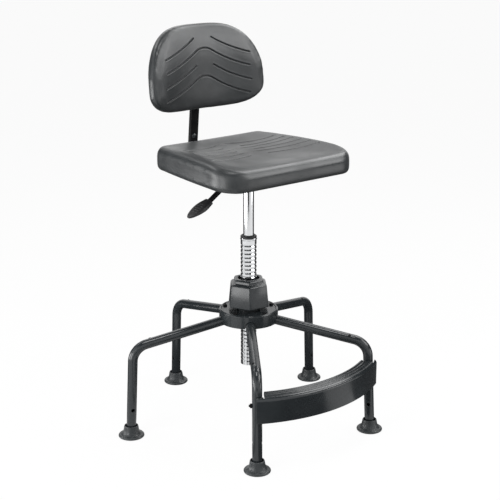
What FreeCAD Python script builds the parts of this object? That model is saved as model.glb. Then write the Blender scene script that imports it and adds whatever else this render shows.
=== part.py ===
import FreeCAD, Part
import math
import os
from FreeCAD import Rotation, Vector

# Millimetres. The origin is on the swivel axis at the floor, +Z is up and the chair faces -Y.
UP = Vector(0, 0, 1)
SIDE = Vector(1, 0, 0)
REAR = Vector(0, 1, 0)
ORIGIN = Vector(0, 0, 0)

# Clearances
WELD_GAP = 0.1
SEAT_GAP = 0.1
SLIDE_GAP = 0.3
RUNNING_GAP = 0.08
HOLE_GAP = 0.3

# Base: five bent legs on a central tube
LEG_COUNT = 5
FIRST_LEG_AZIMUTH = -36.0
FOOT_CIRCLE_R = 334.0
LEG_TUBE_R = 12.7
LEG_TUBE_WALL = 2.0
LEG_SLOPE = 10.0
LEG_SPLAY = 2.7
LEG_MEETING_Z = 302.8
LEG_BEND_R = 45.0
LEG_END_Z = 9.5
ACCESSORY_HOLE_R = 5.0
ACCESSORY_HOLE_Z = 77.0
RIVET_FROM_CORNER = 50.0
RIVET_LEAN = 35.0
RIVET_HEAD_R = 4.0
RIVET_HEAD_H = 1.6
RIVET_SHANK_R = 2.4
RIVET_LENGTH = 6.0

# Foot glides
FOOT_FLANGE_R = 34.5
FOOT_SOLE_R = 30.0
FOOT_FLANGE_H = 9.0
FOOT_SHOULDER_R = 24.0
FOOT_SHOULDER_H = 14.0
FOOT_COLLAR_R = 20.0
FOOT_COLLAR_TOP_R = 16.5
FOOT_HEIGHT = 32.0

# Hub
HUB_TUBE_R = 32.0
HUB_BORE_R = 25.0
HUB_TUBE_BOTTOM = 275.0
HUB_TUBE_TOP = 352.0
HUB_PLATE_R = 73.0
HUB_PLATE_T = 3.0
HUB_PLATE_Z = 310.4
HUB_COVER_R = 78.5
HUB_COVER_BOTTOM = 283.0
HUB_COVER_T = 2.6
HUB_COVER_RIM_H = 2.0
HUB_COVER_RIM_W = 5.5
HUB_COVER_EDGE_R = 3.0
HUB_SCREW_CIRCLE_R = 65.0
HUB_SCREW_R = 3.0
HUB_SCREW_HEAD_R = 5.5
HUB_SCREW_HEAD_H = 4.5
HUB_SCREW_LENGTH = 16.0
HUB_SCREW_SLOT_W = 1.6
HUB_SCREW_SLOT_DEPTH = 1.2
ARCH_GAP = 0.8
BUSH_FLANGE_R = 29.0
BUSH_FLANGE_T = 3.0

# Lock collar and its collet
COLLAR_OVERLAP = 25.0
COLLAR_FLATS_BOTTOM = 103.5
COLLAR_FLATS_TOP = 92.5
COLLAR_BODY_H = 59.0
COLLAR_BEVEL_H = 4.0
COLLAR_BEVEL_FLATS = 84.0
COLLAR_CROWN_FLATS = 75.0
COLLAR_CROWN_TOP_FLATS = 68.0
COLLAR_CROWN_H = 11.5
COLLAR_CORNER_R = 6.0
COLLAR_MOUTH_R = 28.4
COLLET_FLANGE_T = 5.0
COLLET_WALL = 6.0
COLLET_HEIGHT = 42.0
COLLET_SLIT_W = 2.0
COLLET_SLITS = 3

# Footrest between the two front legs
FOOTREST_ARC_R = 410.0
FOOTREST_ARC_CENTRE_Y = 75.0
FOOTREST_TOP = 201.0
FOOTREST_SKIRT_H = 67.5
FOOTREST_TREAD_W = 38.0
FOOTREST_WALL = 2.5
FOOTREST_LIP_H = 8.0
FOOTREST_EDGE_R = 10.0
FOOTREST_END_AZIMUTH = 36.6
FOOTREST_RIBS = 3
FOOTREST_RIB_W = 7.0
FOOTREST_RIB_H = 2.6
FOOTREST_TAB_T = 3.0
FOOTREST_TAB_REACH = 22.0
NOTCH_GAP = 4.0
NOTCH_FLARE = 9.0
FOOTREST_BOLT_Z = 174.0
FOOTREST_BOLT_R = 3.0
FOOTREST_BOLT_HEAD_R = 5.8
FOOTREST_BOLT_HEAD_H = 4.2
FOOTREST_NUT_H = 5.0
FOOTREST_BOLT_END = 8.0

# Ring-grooved lift column
COLUMN_R = 21.0
COLUMN_BORE_R = 17.2
COLUMN_BOTTOM = 160.0
COLUMN_TOP = 512.0
COLUMN_RIM_R = 22.4
COLUMN_RIM_H = 5.5
GROOVE_PITCH = 10.7
GROOVE_W = 4.8
GROOVE_DEPTH = 1.7
GROOVE_MARGIN = 6.0
COLUMN_LIP_R = 14.0
COLUMN_LIP_T = 3.0
TOP_BUSH_LENGTH = 60.0
TOP_BUSH_FLANGE_R = 21.4
TOP_BUSH_FLANGE_H = 6.0
TOP_BUSH_CHAMFER = 2.0
BASE_CAP_T = 6.0
BEARING_R = 11.0
BEARING_WASHER_T = 1.6
BEARING_CAGE_T = 4.8
BEARING_BALLS = 8

# Gas spring
ROD_R = 5.0
ROD_SHOULDER_R = 8.0
ROD_SHOULDER_H = 4.0
CLIP_R = 8.5
CLIP_T = 1.8
CYLINDER_R = 14.0
CYLINDER_WALL = 1.5
CYLINDER_GUIDED = 92.0
CYLINDER_BELOW_SEAT = 25.0
CYLINDER_PLUG_H = 18.0
GLAND_H = 12.0
PISTON_H = 16.0
PISTON_FROM_GLAND = 4.0
BUTTON_R = 4.0
BUTTON_STANDOUT = 9.0
BUTTON_DEPTH = 8.0
BUTTON_TRAVEL_ROOM = 6.0

# Seat plate and release lever
SEAT_Z = 689.0
PLATE_T = 3.0
PLATE_W = 190.0
PLATE_D = 180.0
PLATE_CENTRE_Y = 20.0
PLATE_CORNER_R = 14.0
PLATE_RIB_X = 62.0
PLATE_RIB_H = 18.0
SOCKET_WALL = 5.0
SOCKET_LENGTH = 46.0
LEVER_PIVOT_X = -28.0
LEVER_PIN_R = 3.0
LEVER_W = 13.0
LEVER_T = 7.0
LEVER_BOSS_R = 6.5
LEVER_FINGER_R = 3.8
LEVER_BEND_X = -56.0
LEVER_BEND_R = 30.0
LEVER_DROOP = 33.0
LEVER_ROD_RUN = 102.0
LEVER_EAR_T = 3.0
LEVER_EAR_GAP = 0.5
LEVER_WINDOW_GAP = 3.0
PADDLE_LENGTH = 74.0
PADDLE_W = 40.0
PADDLE_T = 14.0
PADDLE_DROOP = 25.0
PADDLE_OVERLAP = 14.0
PADDLE_RIBS = 5
PADDLE_RIB_W = 2.2
PADDLE_RIB_H = 1.2

# Seat cushion and its board
SEAT_FRONT_W = 435.0
SEAT_REAR_W = 346.0
SEAT_SIDE_BOW = 5.5
SEAT_FRONT_Y = -190.0
SEAT_DEPTH = 362.0
SEAT_THICKNESS = 62.0
SEAT_FRONT_CORNER_R = 70.0
SEAT_REAR_CORNER_R = 14.0
SEAT_REAR_STRETCH = 3.0
SEAT_DISH_RUN = 110.0
SEAT_WAIST = 2.0
SEAT_EDGE_R = 20.0
SEAT_UNDER_R = 14.0
SEAT_DISH = 14.0
SEAT_WATERFALL = 13.0
SEAT_WATERFALL_RUN = 120.0
SEAT_BOARD_T = 12.0
SEAT_BOARD_MARGIN = 30.0
SEAT_SCREW_R = 3.0
SEAT_SCREW_HEAD_R = 6.0
SEAT_SCREW_HEAD_H = 4.0
SEAT_SCREW_INSET = 16.0

# Back bar, upright and their bolts
CHANNEL_W = 25.0
CHANNEL_DEPTH = 10.0
CHANNEL_WALL = 2.0
BAR_T = 7.0
BAR_START_Y = 44.0
BAR_BEND_R = 24.0
BAR_LEAN = 5.5
BAR_RISE = 79.0
GUIDE_Y = 42.0
GUIDE_LENGTH = 56.0
GUIDE_WALL = 3.0
UPRIGHT_GAP = 57.7
UPRIGHT_FOOT_RISE = 15.0
UPRIGHT_TOP_RISE = 213.0
BOLT_RISES = (27.0, 58.0)
BOLT_R = 4.0
BOLT_HEAD_R = 7.5
BOLT_HEAD_H = 3.6
BOLT_NUT_H = 6.0

BAR_W = CHANNEL_W - 2 * (CHANNEL_WALL + SLIDE_GAP)

# Hand knobs
KNOB_R = 17.0
KNOB_H = 15.0
KNOB_NECK_R = 9.0
KNOB_NECK_H = 6.0
KNOB_STEM_R = 4.0
KNOB_LOBES = 6
KNOB_SCALLOP_R = 6.0

# Backrest
BACK_W = 372.0
BACK_H = 222.0
BACK_THICKNESS = 36.0
BACK_EDGE_THIN = 8.0
BACK_AHEAD = 0.3
BACK_RISE = 248.0
BACK_TRAVEL = 20.0
BACK_TILT = 5.5
BACK_CURVE_R = 430.0
BACK_SIDE_DROP = 50.0
BACK_TOP_POWER = 3.4
BACK_BOTTOM_POWER = 5.3
BACK_EDGE_R = 14.0
BACK_BOARD_W = 110.0
BACK_BOARD_H = 74.0
BACK_BOARD_T = 7.0
BACK_BOARD_DROP = 64.0
BRACKET_T = 3.0
BRACKET_W = 84.0
BRACKET_H = 62.0
SLEEVE_LENGTH = 40.0
BACK_SCREW_R = 2.5
BACK_SCREW_HEAD_R = 5.0
BACK_SCREW_HEAD_H = 2.8
BACK_SCREW_INSET = 12.0
BACK_RECESS = 18.0
BACK_RECESS_HALF_W = 24.0
BACK_RECESS_ROOM = 5.0

# Moulded chevron channels in both cushions
CHANNEL_HALF = 1.6
CHANNEL_CUT = 2.2
SEAT_PEAKS = (105.0, 48.0, -9.0)
SEAT_ARMS = (70.0, 13.0, -44.0)
SEAT_ARM_REACH = (126.0, 136.0, 146.0)
SEAT_ARM_START = 30.0
SEAT_PEAK_R = 90.0
SEAT_ARM_STEEP = 18.0
SEAT_ARM_FLAT = 6.0
SEAT_CUT_BASE = 20.0
BACK_PEAKS = (48.0, -25.0)
BACK_ARMS = (75.0, 3.0)
BACK_ARM_REACH = (110.0, 112.0)
BACK_ARM_START = 29.0
BACK_PEAK_R = 50.0
BACK_ARM_STEEP = 32.0
BACK_ARM_FLAT = 15.0
BACK_CUT_BASE = -14.0


def outward(azimuth):
    """Level unit direction at an azimuth measured from -Y towards +X."""
    angle = math.radians(azimuth)
    return Vector(math.sin(angle), -math.cos(angle), 0)


def sideways(azimuth):
    """Level unit direction square to outward, towards growing azimuth."""
    angle = math.radians(azimuth)
    return Vector(math.cos(angle), math.sin(angle), 0)


def spun(profile):
    """Solid of revolution about Z from a closed list of (radius, height) corners."""
    corners = [Vector(radius, 0, height) for radius, height in profile]
    wire = Part.makePolygon(corners + corners[:1])
    return Part.Face(wire).revolve(ORIGIN, UP, 360)


def ring(outer, inner, bottom, top):
    """Flat ring about Z."""
    return spun([(inner, bottom), (outer, bottom), (outer, top), (inner, top)])


def rod(radius, start, end):
    """Round rod between two points."""
    run = end - start
    return Part.makeCylinder(radius, run.Length, start, run)


def box(low, high):
    """Box between two corners."""
    size = high - low
    return Part.makeBox(size.x, size.y, size.z, low)


def prism(corners, height):
    """Straight prism from a flat list of points, raised along a vector."""
    return Part.Face(Part.makePolygon(corners + corners[:1])).extrude(height)


def hexagon_rod(radius, start, run):
    """Hexagonal nut or head: radius reaches its corners."""
    along = Vector(run).normalize()
    across = along.cross(UP) if abs(along.z) < 0.9 else along.cross(SIDE)
    across.normalize()
    other = along.cross(across)
    corners = []
    for index in range(6):
        angle = math.radians(60 * index)
        corners.append(start + (across * math.cos(angle) + other * math.sin(angle)) * radius)
    return prism(corners, run)


def dome(radius, height, start, direction):
    """Round head: an arc spun about its own axis, with a flat seat of the given radius."""
    ball_r = (radius ** 2 + height ** 2) / (2 * height)
    half = math.asin(radius / ball_r) / 2
    rim = Vector(radius, 0, 0)
    middle = Vector(ball_r * math.sin(half), 0, height - ball_r + ball_r * math.cos(half))
    top = UP * height
    arc = Part.Arc(rim, middle, top).toShape()
    outline = Part.Wire([Part.makeLine(ORIGIN, rim), arc, Part.makeLine(top, ORIGIN)])
    cap = Part.Face(outline).revolve(ORIGIN, UP, 360)
    cap.Placement = FreeCAD.Placement(start, Rotation(UP, Vector(direction)))
    return cap


def rounded_polygon(corners, radius):
    """Closed wire of a polygon whose corners are rounded by arcs."""
    edges = []
    count = len(corners)
    joints = []
    for index in range(count):
        corner = corners[index]
        before = (corners[index - 1] - corner).normalize()
        after = (corners[(index + 1) % count] - corner).normalize()
        half = before.getAngle(after) / 2
        cut = radius / math.tan(half)
        bisector = (before + after).normalize()
        middle = corner + bisector * (radius / math.sin(half) - radius)
        joints.append((corner + before * cut, middle, corner + after * cut))
    for index in range(count):
        start, middle, end = joints[index]
        edges.append(Part.Arc(start, middle, end).toShape())
        edges.append(Part.LineSegment(end, joints[(index + 1) % count][0]).toShape())
    return Part.Wire(edges)


def hexagon_wire(flats, height):
    """Rounded hexagon about Z with one corner towards the first leg."""
    corner_r = flats / 2 / math.cos(math.radians(30))
    corners = [outward(FIRST_LEG_AZIMUTH + 60 * index) * corner_r + UP * height for index in range(6)]
    return rounded_polygon(corners, COLLAR_CORNER_R)


def bent_path(points, radius):
    """Open wire of straight runs joined by one tangent arc at each inner point."""
    edges = []
    start = points[0]
    for index in range(1, len(points) - 1):
        corner = points[index]
        before = (points[index - 1] - corner).normalize()
        after = (points[index + 1] - corner).normalize()
        half = before.getAngle(after) / 2
        cut = radius / math.tan(half)
        middle = corner + (before + after).normalize() * (radius / math.sin(half) - radius)
        edges.append(Part.LineSegment(start, corner + before * cut).toShape())
        edges.append(Part.Arc(corner + before * cut, middle, corner + after * cut).toShape())
        start = corner + after * cut
    edges.append(Part.LineSegment(start, points[-1]).toShape())
    return Part.Wire(edges)


def round_sweep(path, radius):
    """Round bar along a wire."""
    start = path.OrderedEdges[0]
    point = start.valueAt(start.FirstParameter)
    direction = start.tangentAt(start.FirstParameter)
    circle = Part.Wire(Part.makeCircle(radius, point, direction))
    return path.makePipeShell([circle], True, False)


def flat_sweep(path, width, thickness):
    """Flat bar along a wire that lies in a plane square to the bar's width direction."""
    start = path.OrderedEdges[0]
    point = start.valueAt(start.FirstParameter)
    along = start.tangentAt(start.FirstParameter)
    across = width[0]
    normal = along.cross(across).normalize()
    half_w = across * (width[1] / 2)
    half_t = normal * (thickness / 2)
    low, high = point - half_t, point + half_t
    corners = [low - half_w, low + half_w, high + half_w, high - half_w]
    profile = Part.makePolygon(corners + corners[:1])
    return path.makePipeShell([profile], True, False)


# Leg line in its upright plane, as (radius, height)
SLOPE = math.radians(LEG_SLOPE)
SPLAY = math.radians(LEG_SPLAY)
CORNER_R = (FOOT_CIRCLE_R - LEG_MEETING_Z * math.tan(SPLAY)) / (1 - math.tan(SLOPE) * math.tan(SPLAY))
CORNER_Z = LEG_MEETING_Z - CORNER_R * math.tan(SLOPE)


def leg_radius(height):
    """Radius of the leg's axis at a height below its bend."""
    return FOOT_CIRCLE_R - height * math.tan(SPLAY)


def leg_azimuth(number):
    """Azimuth of a leg counted from 1."""
    return FIRST_LEG_AZIMUTH + (number - 1) * 360.0 / LEG_COUNT


def leg_point(azimuth, radius, height):
    """Point in a leg's upright plane."""
    return outward(azimuth) * radius + UP * height


def leg_line(azimuth):
    """Axis of one leg, from inside the hub tube to the foot."""
    start_z = LEG_MEETING_Z - HUB_BORE_R * math.tan(SLOPE)
    return [
        leg_point(azimuth, HUB_BORE_R, start_z),
        leg_point(azimuth, CORNER_R, CORNER_Z),
        leg_point(azimuth, leg_radius(LEG_END_Z), LEG_END_Z),
    ]


def rivet_seat(azimuth):
    """Point on the leg's upper side and the direction in which its rivet stands."""
    inboard = outward(azimuth) * -math.cos(SLOPE) + UP * math.sin(SLOPE)
    axis_point = leg_point(azimuth, CORNER_R, CORNER_Z) + inboard * RIVET_FROM_CORNER
    over = outward(azimuth) * math.sin(SLOPE) + UP * math.cos(SLOPE)
    lean = math.radians(RIVET_LEAN)
    stand = over * math.cos(lean) - sideways(azimuth) * math.sin(lean)
    return axis_point + stand * LEG_TUBE_R, stand


def footrest_side(azimuth):
    """Direction from a front leg towards the middle of the footrest."""
    return sideways(azimuth) * (1 if azimuth < 0 else -1)


def carries_footrest(azimuth):
    """True for the two legs beside -Y."""
    return abs(abs(azimuth) - 180.0 / LEG_COUNT) < 1e-6


def make_leg(azimuth):
    """Bent tube, coped to the hub tube, with its cross holes."""
    line = leg_line(azimuth)
    path = bent_path(line, LEG_BEND_R)
    tube = round_sweep(path, LEG_TUBE_R).cut(round_sweep(path, LEG_TUBE_R - LEG_TUBE_WALL))
    tube = tube.cut(ring(HUB_TUBE_R + WELD_GAP, 1.0, HUB_TUBE_BOTTOM - LEG_TUBE_R, HUB_TUBE_TOP))
    across = sideways(azimuth) * (2 * LEG_TUBE_R)
    hole_at = leg_point(azimuth, leg_radius(ACCESSORY_HOLE_Z), ACCESSORY_HOLE_Z)
    tube = tube.cut(rod(ACCESSORY_HOLE_R, hole_at - across, hole_at + across))
    seat, stand = rivet_seat(azimuth)
    tube = tube.cut(rod(RIVET_SHANK_R + SEAT_GAP, seat - stand * RIVET_LENGTH, seat + stand))
    if carries_footrest(azimuth):
        bolt_at = leg_point(azimuth, leg_radius(FOOTREST_BOLT_Z), FOOTREST_BOLT_Z)
        tube = tube.cut(rod(FOOTREST_BOLT_R + HOLE_GAP, bolt_at - across, bolt_at + across))
    return tube


def make_rivet(azimuth):
    """Dome-headed rivet on a leg's upper side."""
    seat, stand = rivet_seat(azimuth)
    head = dome(RIVET_HEAD_R, RIVET_HEAD_H, seat, stand)
    return head.fuse(rod(RIVET_SHANK_R, seat - stand * RIVET_LENGTH, seat)).removeSplitter()


def make_foot(azimuth):
    """Bell-shaped glide with a socket for the leg's end."""
    bell = spun([
        (0, 0),
        (FOOT_SOLE_R, 0),
        (FOOT_FLANGE_R, FOOT_FLANGE_H / 3),
        (FOOT_FLANGE_R, FOOT_FLANGE_H * 2 / 3),
        (FOOT_FLANGE_R - FOOT_FLANGE_H / 3, FOOT_FLANGE_H),
        (FOOT_SHOULDER_R + 2, FOOT_SHOULDER_H - 2),
        (FOOT_SHOULDER_R, FOOT_SHOULDER_H),
        (FOOT_COLLAR_R, FOOT_SHOULDER_H),
        (FOOT_COLLAR_TOP_R, FOOT_HEIGHT - 1.5),
        (FOOT_COLLAR_TOP_R - 1.5, FOOT_HEIGHT),
        (0, FOOT_HEIGHT),
    ])
    bell.translate(leg_point(azimuth, FOOT_CIRCLE_R, 0))
    end = leg_line(azimuth)[-1]
    upwards = (leg_line(azimuth)[1] - end).normalize()
    socket = rod(LEG_TUBE_R + SEAT_GAP, end - upwards * SEAT_GAP, end + upwards * FOOT_HEIGHT)
    return bell.cut(socket)


def make_hub_cover():
    """Inverted dish over the leg roots, with an arch for each leg and a raised rim."""
    floor = HUB_PLATE_Z + HUB_PLATE_T + WELD_GAP
    deck = floor + HUB_COVER_T
    rim = deck + HUB_COVER_RIM_H
    inner = HUB_TUBE_R + SEAT_GAP
    dish = spun([
        (inner, floor),
        (HUB_COVER_R - HUB_COVER_T, floor),
        (HUB_COVER_R - HUB_COVER_T, HUB_COVER_BOTTOM),
        (HUB_COVER_R, HUB_COVER_BOTTOM),
        (HUB_COVER_R, rim - HUB_COVER_EDGE_R),
        (HUB_COVER_R - HUB_COVER_EDGE_R, rim),
        (HUB_COVER_R - HUB_COVER_RIM_W, rim),
        (HUB_COVER_R - HUB_COVER_RIM_W - HUB_COVER_RIM_H, deck),
        (inner, deck),
    ])
    arch_r = LEG_TUBE_R + ARCH_GAP
    for number in range(1, LEG_COUNT + 1):
        azimuth = leg_azimuth(number)
        line = leg_line(azimuth)
        along = (line[1] - line[0]).normalize()
        run = along * (HUB_COVER_R + LEG_TUBE_R)
        dish = dish.cut(rod(arch_r, line[0], line[0] + run))
        half = sideways(azimuth) * arch_r
        below = line[0] - UP * HUB_COVER_R
        dish = dish.cut(prism([line[0] - half, line[0] + half, below + half, below - half], run))
    for point in hub_screw_points():
        dish = dish.cut(rod(HUB_SCREW_R + HOLE_GAP, point - UP * HUB_SCREW_LENGTH, point + UP))
    return dish


def hub_screw_points():
    """Seats of the cover screws, midway between the legs."""
    deck = HUB_PLATE_Z + HUB_PLATE_T + WELD_GAP + HUB_COVER_T
    midway = [leg_azimuth(number) + 180.0 / LEG_COUNT for number in range(1, LEG_COUNT + 1)]
    return [leg_point(azimuth, HUB_SCREW_CIRCLE_R, deck) for azimuth in midway]


def make_hub_plate():
    """Disc welded to the hub tube over the leg roots."""
    plate = ring(HUB_PLATE_R, HUB_TUBE_R + WELD_GAP, HUB_PLATE_Z, HUB_PLATE_Z + HUB_PLATE_T)
    for point in hub_screw_points():
        plate = plate.cut(rod(HUB_SCREW_R + SEAT_GAP, point - UP * HUB_SCREW_LENGTH, point + UP))
    return plate


def make_hub_screw(point):
    """Pan-headed screw through the cover into the plate."""
    head = Part.makeCylinder(HUB_SCREW_HEAD_R, HUB_SCREW_HEAD_H, point, UP)
    head = head.makeChamfer(HUB_SCREW_SLOT_DEPTH, [head.Edges[0]])
    half = HUB_SCREW_SLOT_W / 2
    floor = HUB_SCREW_HEAD_H - HUB_SCREW_SLOT_DEPTH
    slot = box(Vector(-HUB_SCREW_HEAD_R, -half, floor), Vector(HUB_SCREW_HEAD_R, half, HUB_SCREW_HEAD_H + 1))
    slot.translate(point)
    head = head.cut(slot)
    return head.fuse(rod(HUB_SCREW_R, point - UP * HUB_SCREW_LENGTH, point)).removeSplitter()


def make_guide_bush():
    """Plain bush in the hub tube that the column slides in."""
    inner = COLUMN_R + SLIDE_GAP
    outer = HUB_BORE_R - SEAT_GAP
    return spun([
        (inner, HUB_TUBE_BOTTOM - BUSH_FLANGE_T),
        (BUSH_FLANGE_R, HUB_TUBE_BOTTOM - BUSH_FLANGE_T),
        (BUSH_FLANGE_R, HUB_TUBE_BOTTOM),
        (outer, HUB_TUBE_BOTTOM),
        (outer, HUB_TUBE_TOP),
        (inner, HUB_TUBE_TOP),
    ])


def make_collet():
    """Slit sleeve above the hub tube that the lock collar squeezes on the column."""
    inner = COLUMN_R + SLIDE_GAP
    outer = inner + COLLET_WALL
    foot_r = HUB_TUBE_R - SLIDE_GAP
    top = HUB_TUBE_TOP + COLLET_HEIGHT
    sleeve = spun([
        (inner, HUB_TUBE_TOP),
        (foot_r, HUB_TUBE_TOP),
        (foot_r, HUB_TUBE_TOP + COLLET_FLANGE_T),
        (outer, HUB_TUBE_TOP + COLLET_FLANGE_T),
        (outer, top - COLLET_WALL),
        (outer - COLLET_WALL / 2, top),
        (inner, top),
    ])
    slit_bottom = HUB_TUBE_TOP + 2 * COLLET_FLANGE_T
    for index in range(COLLET_SLITS):
        half = COLLET_SLIT_W / 2
        slit = box(Vector(-HUB_TUBE_R, -half, slit_bottom), Vector(HUB_TUBE_R, half, top + 1))
        slit.rotate(ORIGIN, UP, index * 180.0 / COLLET_SLITS)
        sleeve = sleeve.cut(slit)
    return sleeve


def make_lock_collar():
    """Hexagonal tapered collar with a stepped crown, bored for the hub tube and the collet."""
    bottom = HUB_TUBE_TOP - COLLAR_OVERLAP
    shoulder = bottom + COLLAR_BODY_H
    bevel_top = shoulder + COLLAR_BEVEL_H
    crown_top = bevel_top + COLLAR_CROWN_H
    body = Part.makeLoft([
        hexagon_wire(COLLAR_FLATS_BOTTOM, bottom),
        hexagon_wire(COLLAR_FLATS_TOP, shoulder),
        hexagon_wire(COLLAR_BEVEL_FLATS, bevel_top),
    ], True, True)
    crown = Part.makeLoft([
        hexagon_wire(COLLAR_CROWN_FLATS, shoulder),
        hexagon_wire(COLLAR_CROWN_FLATS, crown_top - COLLAR_BEVEL_H),
        hexagon_wire(COLLAR_CROWN_TOP_FLATS, crown_top),
    ], True, True)
    thread_top = HUB_TUBE_TOP + COLLET_FLANGE_T + SLIDE_GAP
    bore = spun([
        (0, bottom - 1),
        (HUB_TUBE_R + RUNNING_GAP, bottom - 1),
        (HUB_TUBE_R + RUNNING_GAP, thread_top),
        (COLLAR_MOUTH_R, thread_top),
        (COLLAR_MOUTH_R, crown_top + 1),
        (0, crown_top + 1),
    ])
    return body.fuse(crown).cut(bore).removeSplitter()


def footrest_section():
    """Closed face of tread, ribs, lip and skirt in the plane x = 0."""
    def at(radius, height):
        return Vector(0, FOOTREST_ARC_CENTRE_Y - radius, height)

    outer = FOOTREST_ARC_R
    inner = outer - FOOTREST_TREAD_W
    top = FOOTREST_TOP
    under = top - FOOTREST_WALL
    foot = top - FOOTREST_SKIRT_H
    bend = FOOTREST_EDGE_R
    diagonal = bend * (1 - math.sqrt(0.5))
    points = [at(outer - bend, top)]
    pitch = (FOOTREST_TREAD_W - bend) / FOOTREST_RIBS
    for index in range(FOOTREST_RIBS):
        middle = outer - bend - (index + 0.5) * pitch
        half = FOOTREST_RIB_W / 2
        points.append(at(middle + half, top))
        points.append(at(middle + half / 2, top + FOOTREST_RIB_H))
        points.append(at(middle - half / 2, top + FOOTREST_RIB_H))
        points.append(at(middle - half, top))
    points += [
        at(inner, top),
        at(inner, top - FOOTREST_LIP_H),
        at(inner + FOOTREST_WALL, top - FOOTREST_LIP_H),
        at(inner + FOOTREST_WALL, under),
        at(outer - bend, under),
        at(outer - FOOTREST_WALL, top - bend),
        at(outer - FOOTREST_WALL, foot),
        at(outer, foot),
        at(outer, top - bend),
    ]
    edges = [Part.LineSegment(a, b).toShape() for a, b in zip(points, points[1:])]
    edges.append(Part.Arc(points[-1], at(outer - diagonal, top - diagonal), points[0]).toShape())
    return Part.Face(Part.Wire(edges))


def make_footrest():
    """Curved tread with a deep front skirt, notched round the two front legs and tabbed to them."""
    centre = Vector(0, FOOTREST_ARC_CENTRE_Y, 0)
    sweep = 2 * FOOTREST_END_AZIMUTH
    face = footrest_section()
    face.rotate(centre, UP, -sweep / 2)
    shell = face.revolve(centre, UP, sweep)
    reach = 2 * FOOTREST_ARC_R
    low = FOOTREST_TOP - 2 * FOOTREST_SKIRT_H
    tall = UP * (3 * FOOTREST_SKIRT_H)
    ends = [outward(side * FOOTREST_END_AZIMUTH) * reach for side in (-1, 1)]
    shell = shell.common(prism([UP * low, ends[0] + UP * low, ends[1] + UP * low], tall))
    for number in (1, 2):
        azimuth = leg_azimuth(number)
        inward = footrest_side(azimuth)

        def at(radius, offset, height):
            return outward(azimuth) * radius + inward * offset + UP * height

        leg_r = leg_radius(FOOTREST_TOP)
        side = LEG_TUBE_R + NOTCH_GAP
        outer = leg_r + LEG_TUBE_R + NOTCH_GAP
        mid = leg_r - LEG_TUBE_R / 2
        inner = leg_r - 2 * FOOTREST_TREAD_W
        floor = FOOTREST_TOP - FOOTREST_LIP_H - 1
        plan = [(outer, -2 * side), (outer, side), (mid, side)]
        plan += [(inner, side + NOTCH_FLARE), (inner, -2 * side)]
        notch = prism([at(radius, offset, floor) for radius, offset in plan], tall)
        shell = shell.cut(notch)
        tab_low = FOOTREST_TOP - FOOTREST_SKIRT_H + 2 * FOOTREST_WALL
        tab_high = FOOTREST_TOP - FOOTREST_LIP_H
        near = LEG_TUBE_R + WELD_GAP
        far = near + FOOTREST_TAB_T
        root = leg_radius(FOOTREST_BOLT_Z) - LEG_TUBE_R / 2
        end = root + 2 * FOOTREST_TAB_REACH
        plan = [(root, near), (root, far), (end, far), (end, near)]
        tab = prism([at(radius, offset, tab_low) for radius, offset in plan], UP * (tab_high - tab_low))
        tab = tab.common(Part.makeCylinder(FOOTREST_ARC_R - FOOTREST_WALL / 2, FOOTREST_TOP, centre, UP))
        bolt_at = at(leg_radius(FOOTREST_BOLT_Z), 0, FOOTREST_BOLT_Z)
        tab = tab.cut(rod(FOOTREST_BOLT_R + HOLE_GAP, bolt_at, bolt_at + inward * (2 * far)))
        shell = shell.fuse(tab)
    return shell.removeSplitter()


def footrest_bolt_line(azimuth):
    """Bolt seats on a front leg: the tab's inner face, the leg's outer side and the way between them."""
    inward = footrest_side(azimuth)
    middle = leg_point(azimuth, leg_radius(FOOTREST_BOLT_Z), FOOTREST_BOLT_Z)
    tab_face = middle + inward * (LEG_TUBE_R + WELD_GAP + FOOTREST_TAB_T)
    leg_side = middle - inward * LEG_TUBE_R
    return tab_face, leg_side, inward


def make_footrest_bolt(azimuth):
    """Hexagon-headed bolt through the tab and the leg."""
    tab_face, leg_side, inward = footrest_bolt_line(azimuth)
    head = hexagon_rod(FOOTREST_BOLT_HEAD_R, tab_face, inward * FOOTREST_BOLT_HEAD_H)
    shank = rod(FOOTREST_BOLT_R, leg_side - inward * FOOTREST_BOLT_END, tab_face)
    return head.fuse(shank).removeSplitter()


def make_footrest_nut(azimuth):
    """Nut on the leg's outer side."""
    leg_side, inward = footrest_bolt_line(azimuth)[1:]
    nut = hexagon_rod(FOOTREST_BOLT_HEAD_R, leg_side, inward * -FOOTREST_NUT_H)
    end = leg_side - inward * FOOTREST_BOLT_END
    return nut.cut(rod(FOOTREST_BOLT_R + RUNNING_GAP, leg_side + inward, end))


def make_column():
    """Chromed tube with level ring grooves, a rolled rim on top and a lip inside its foot."""
    rim_bottom = COLUMN_TOP - COLUMN_RIM_H
    lip_top = COLUMN_BOTTOM + COLUMN_LIP_T
    profile = [(COLUMN_BORE_R, lip_top), (COLUMN_LIP_R, lip_top)]
    profile += [(COLUMN_LIP_R, COLUMN_BOTTOM), (COLUMN_R, COLUMN_BOTTOM)]
    grooved = rim_bottom - COLUMN_BOTTOM - 2 * GROOVE_MARGIN
    for index in range(int(grooved / GROOVE_PITCH)):
        middle = COLUMN_BOTTOM + GROOVE_MARGIN + (index + 0.5) * GROOVE_PITCH
        profile.append((COLUMN_R, middle - GROOVE_W / 2))
        profile.append((COLUMN_R - GROOVE_DEPTH, middle))
        profile.append((COLUMN_R, middle + GROOVE_W / 2))
    profile += [(COLUMN_R, rim_bottom), (COLUMN_RIM_R, rim_bottom + COLUMN_RIM_R - COLUMN_R)]
    profile += [(COLUMN_RIM_R, COLUMN_TOP - 1), (COLUMN_RIM_R - 1, COLUMN_TOP)]
    profile.append((COLUMN_BORE_R, COLUMN_TOP))
    return spun(profile)


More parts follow.
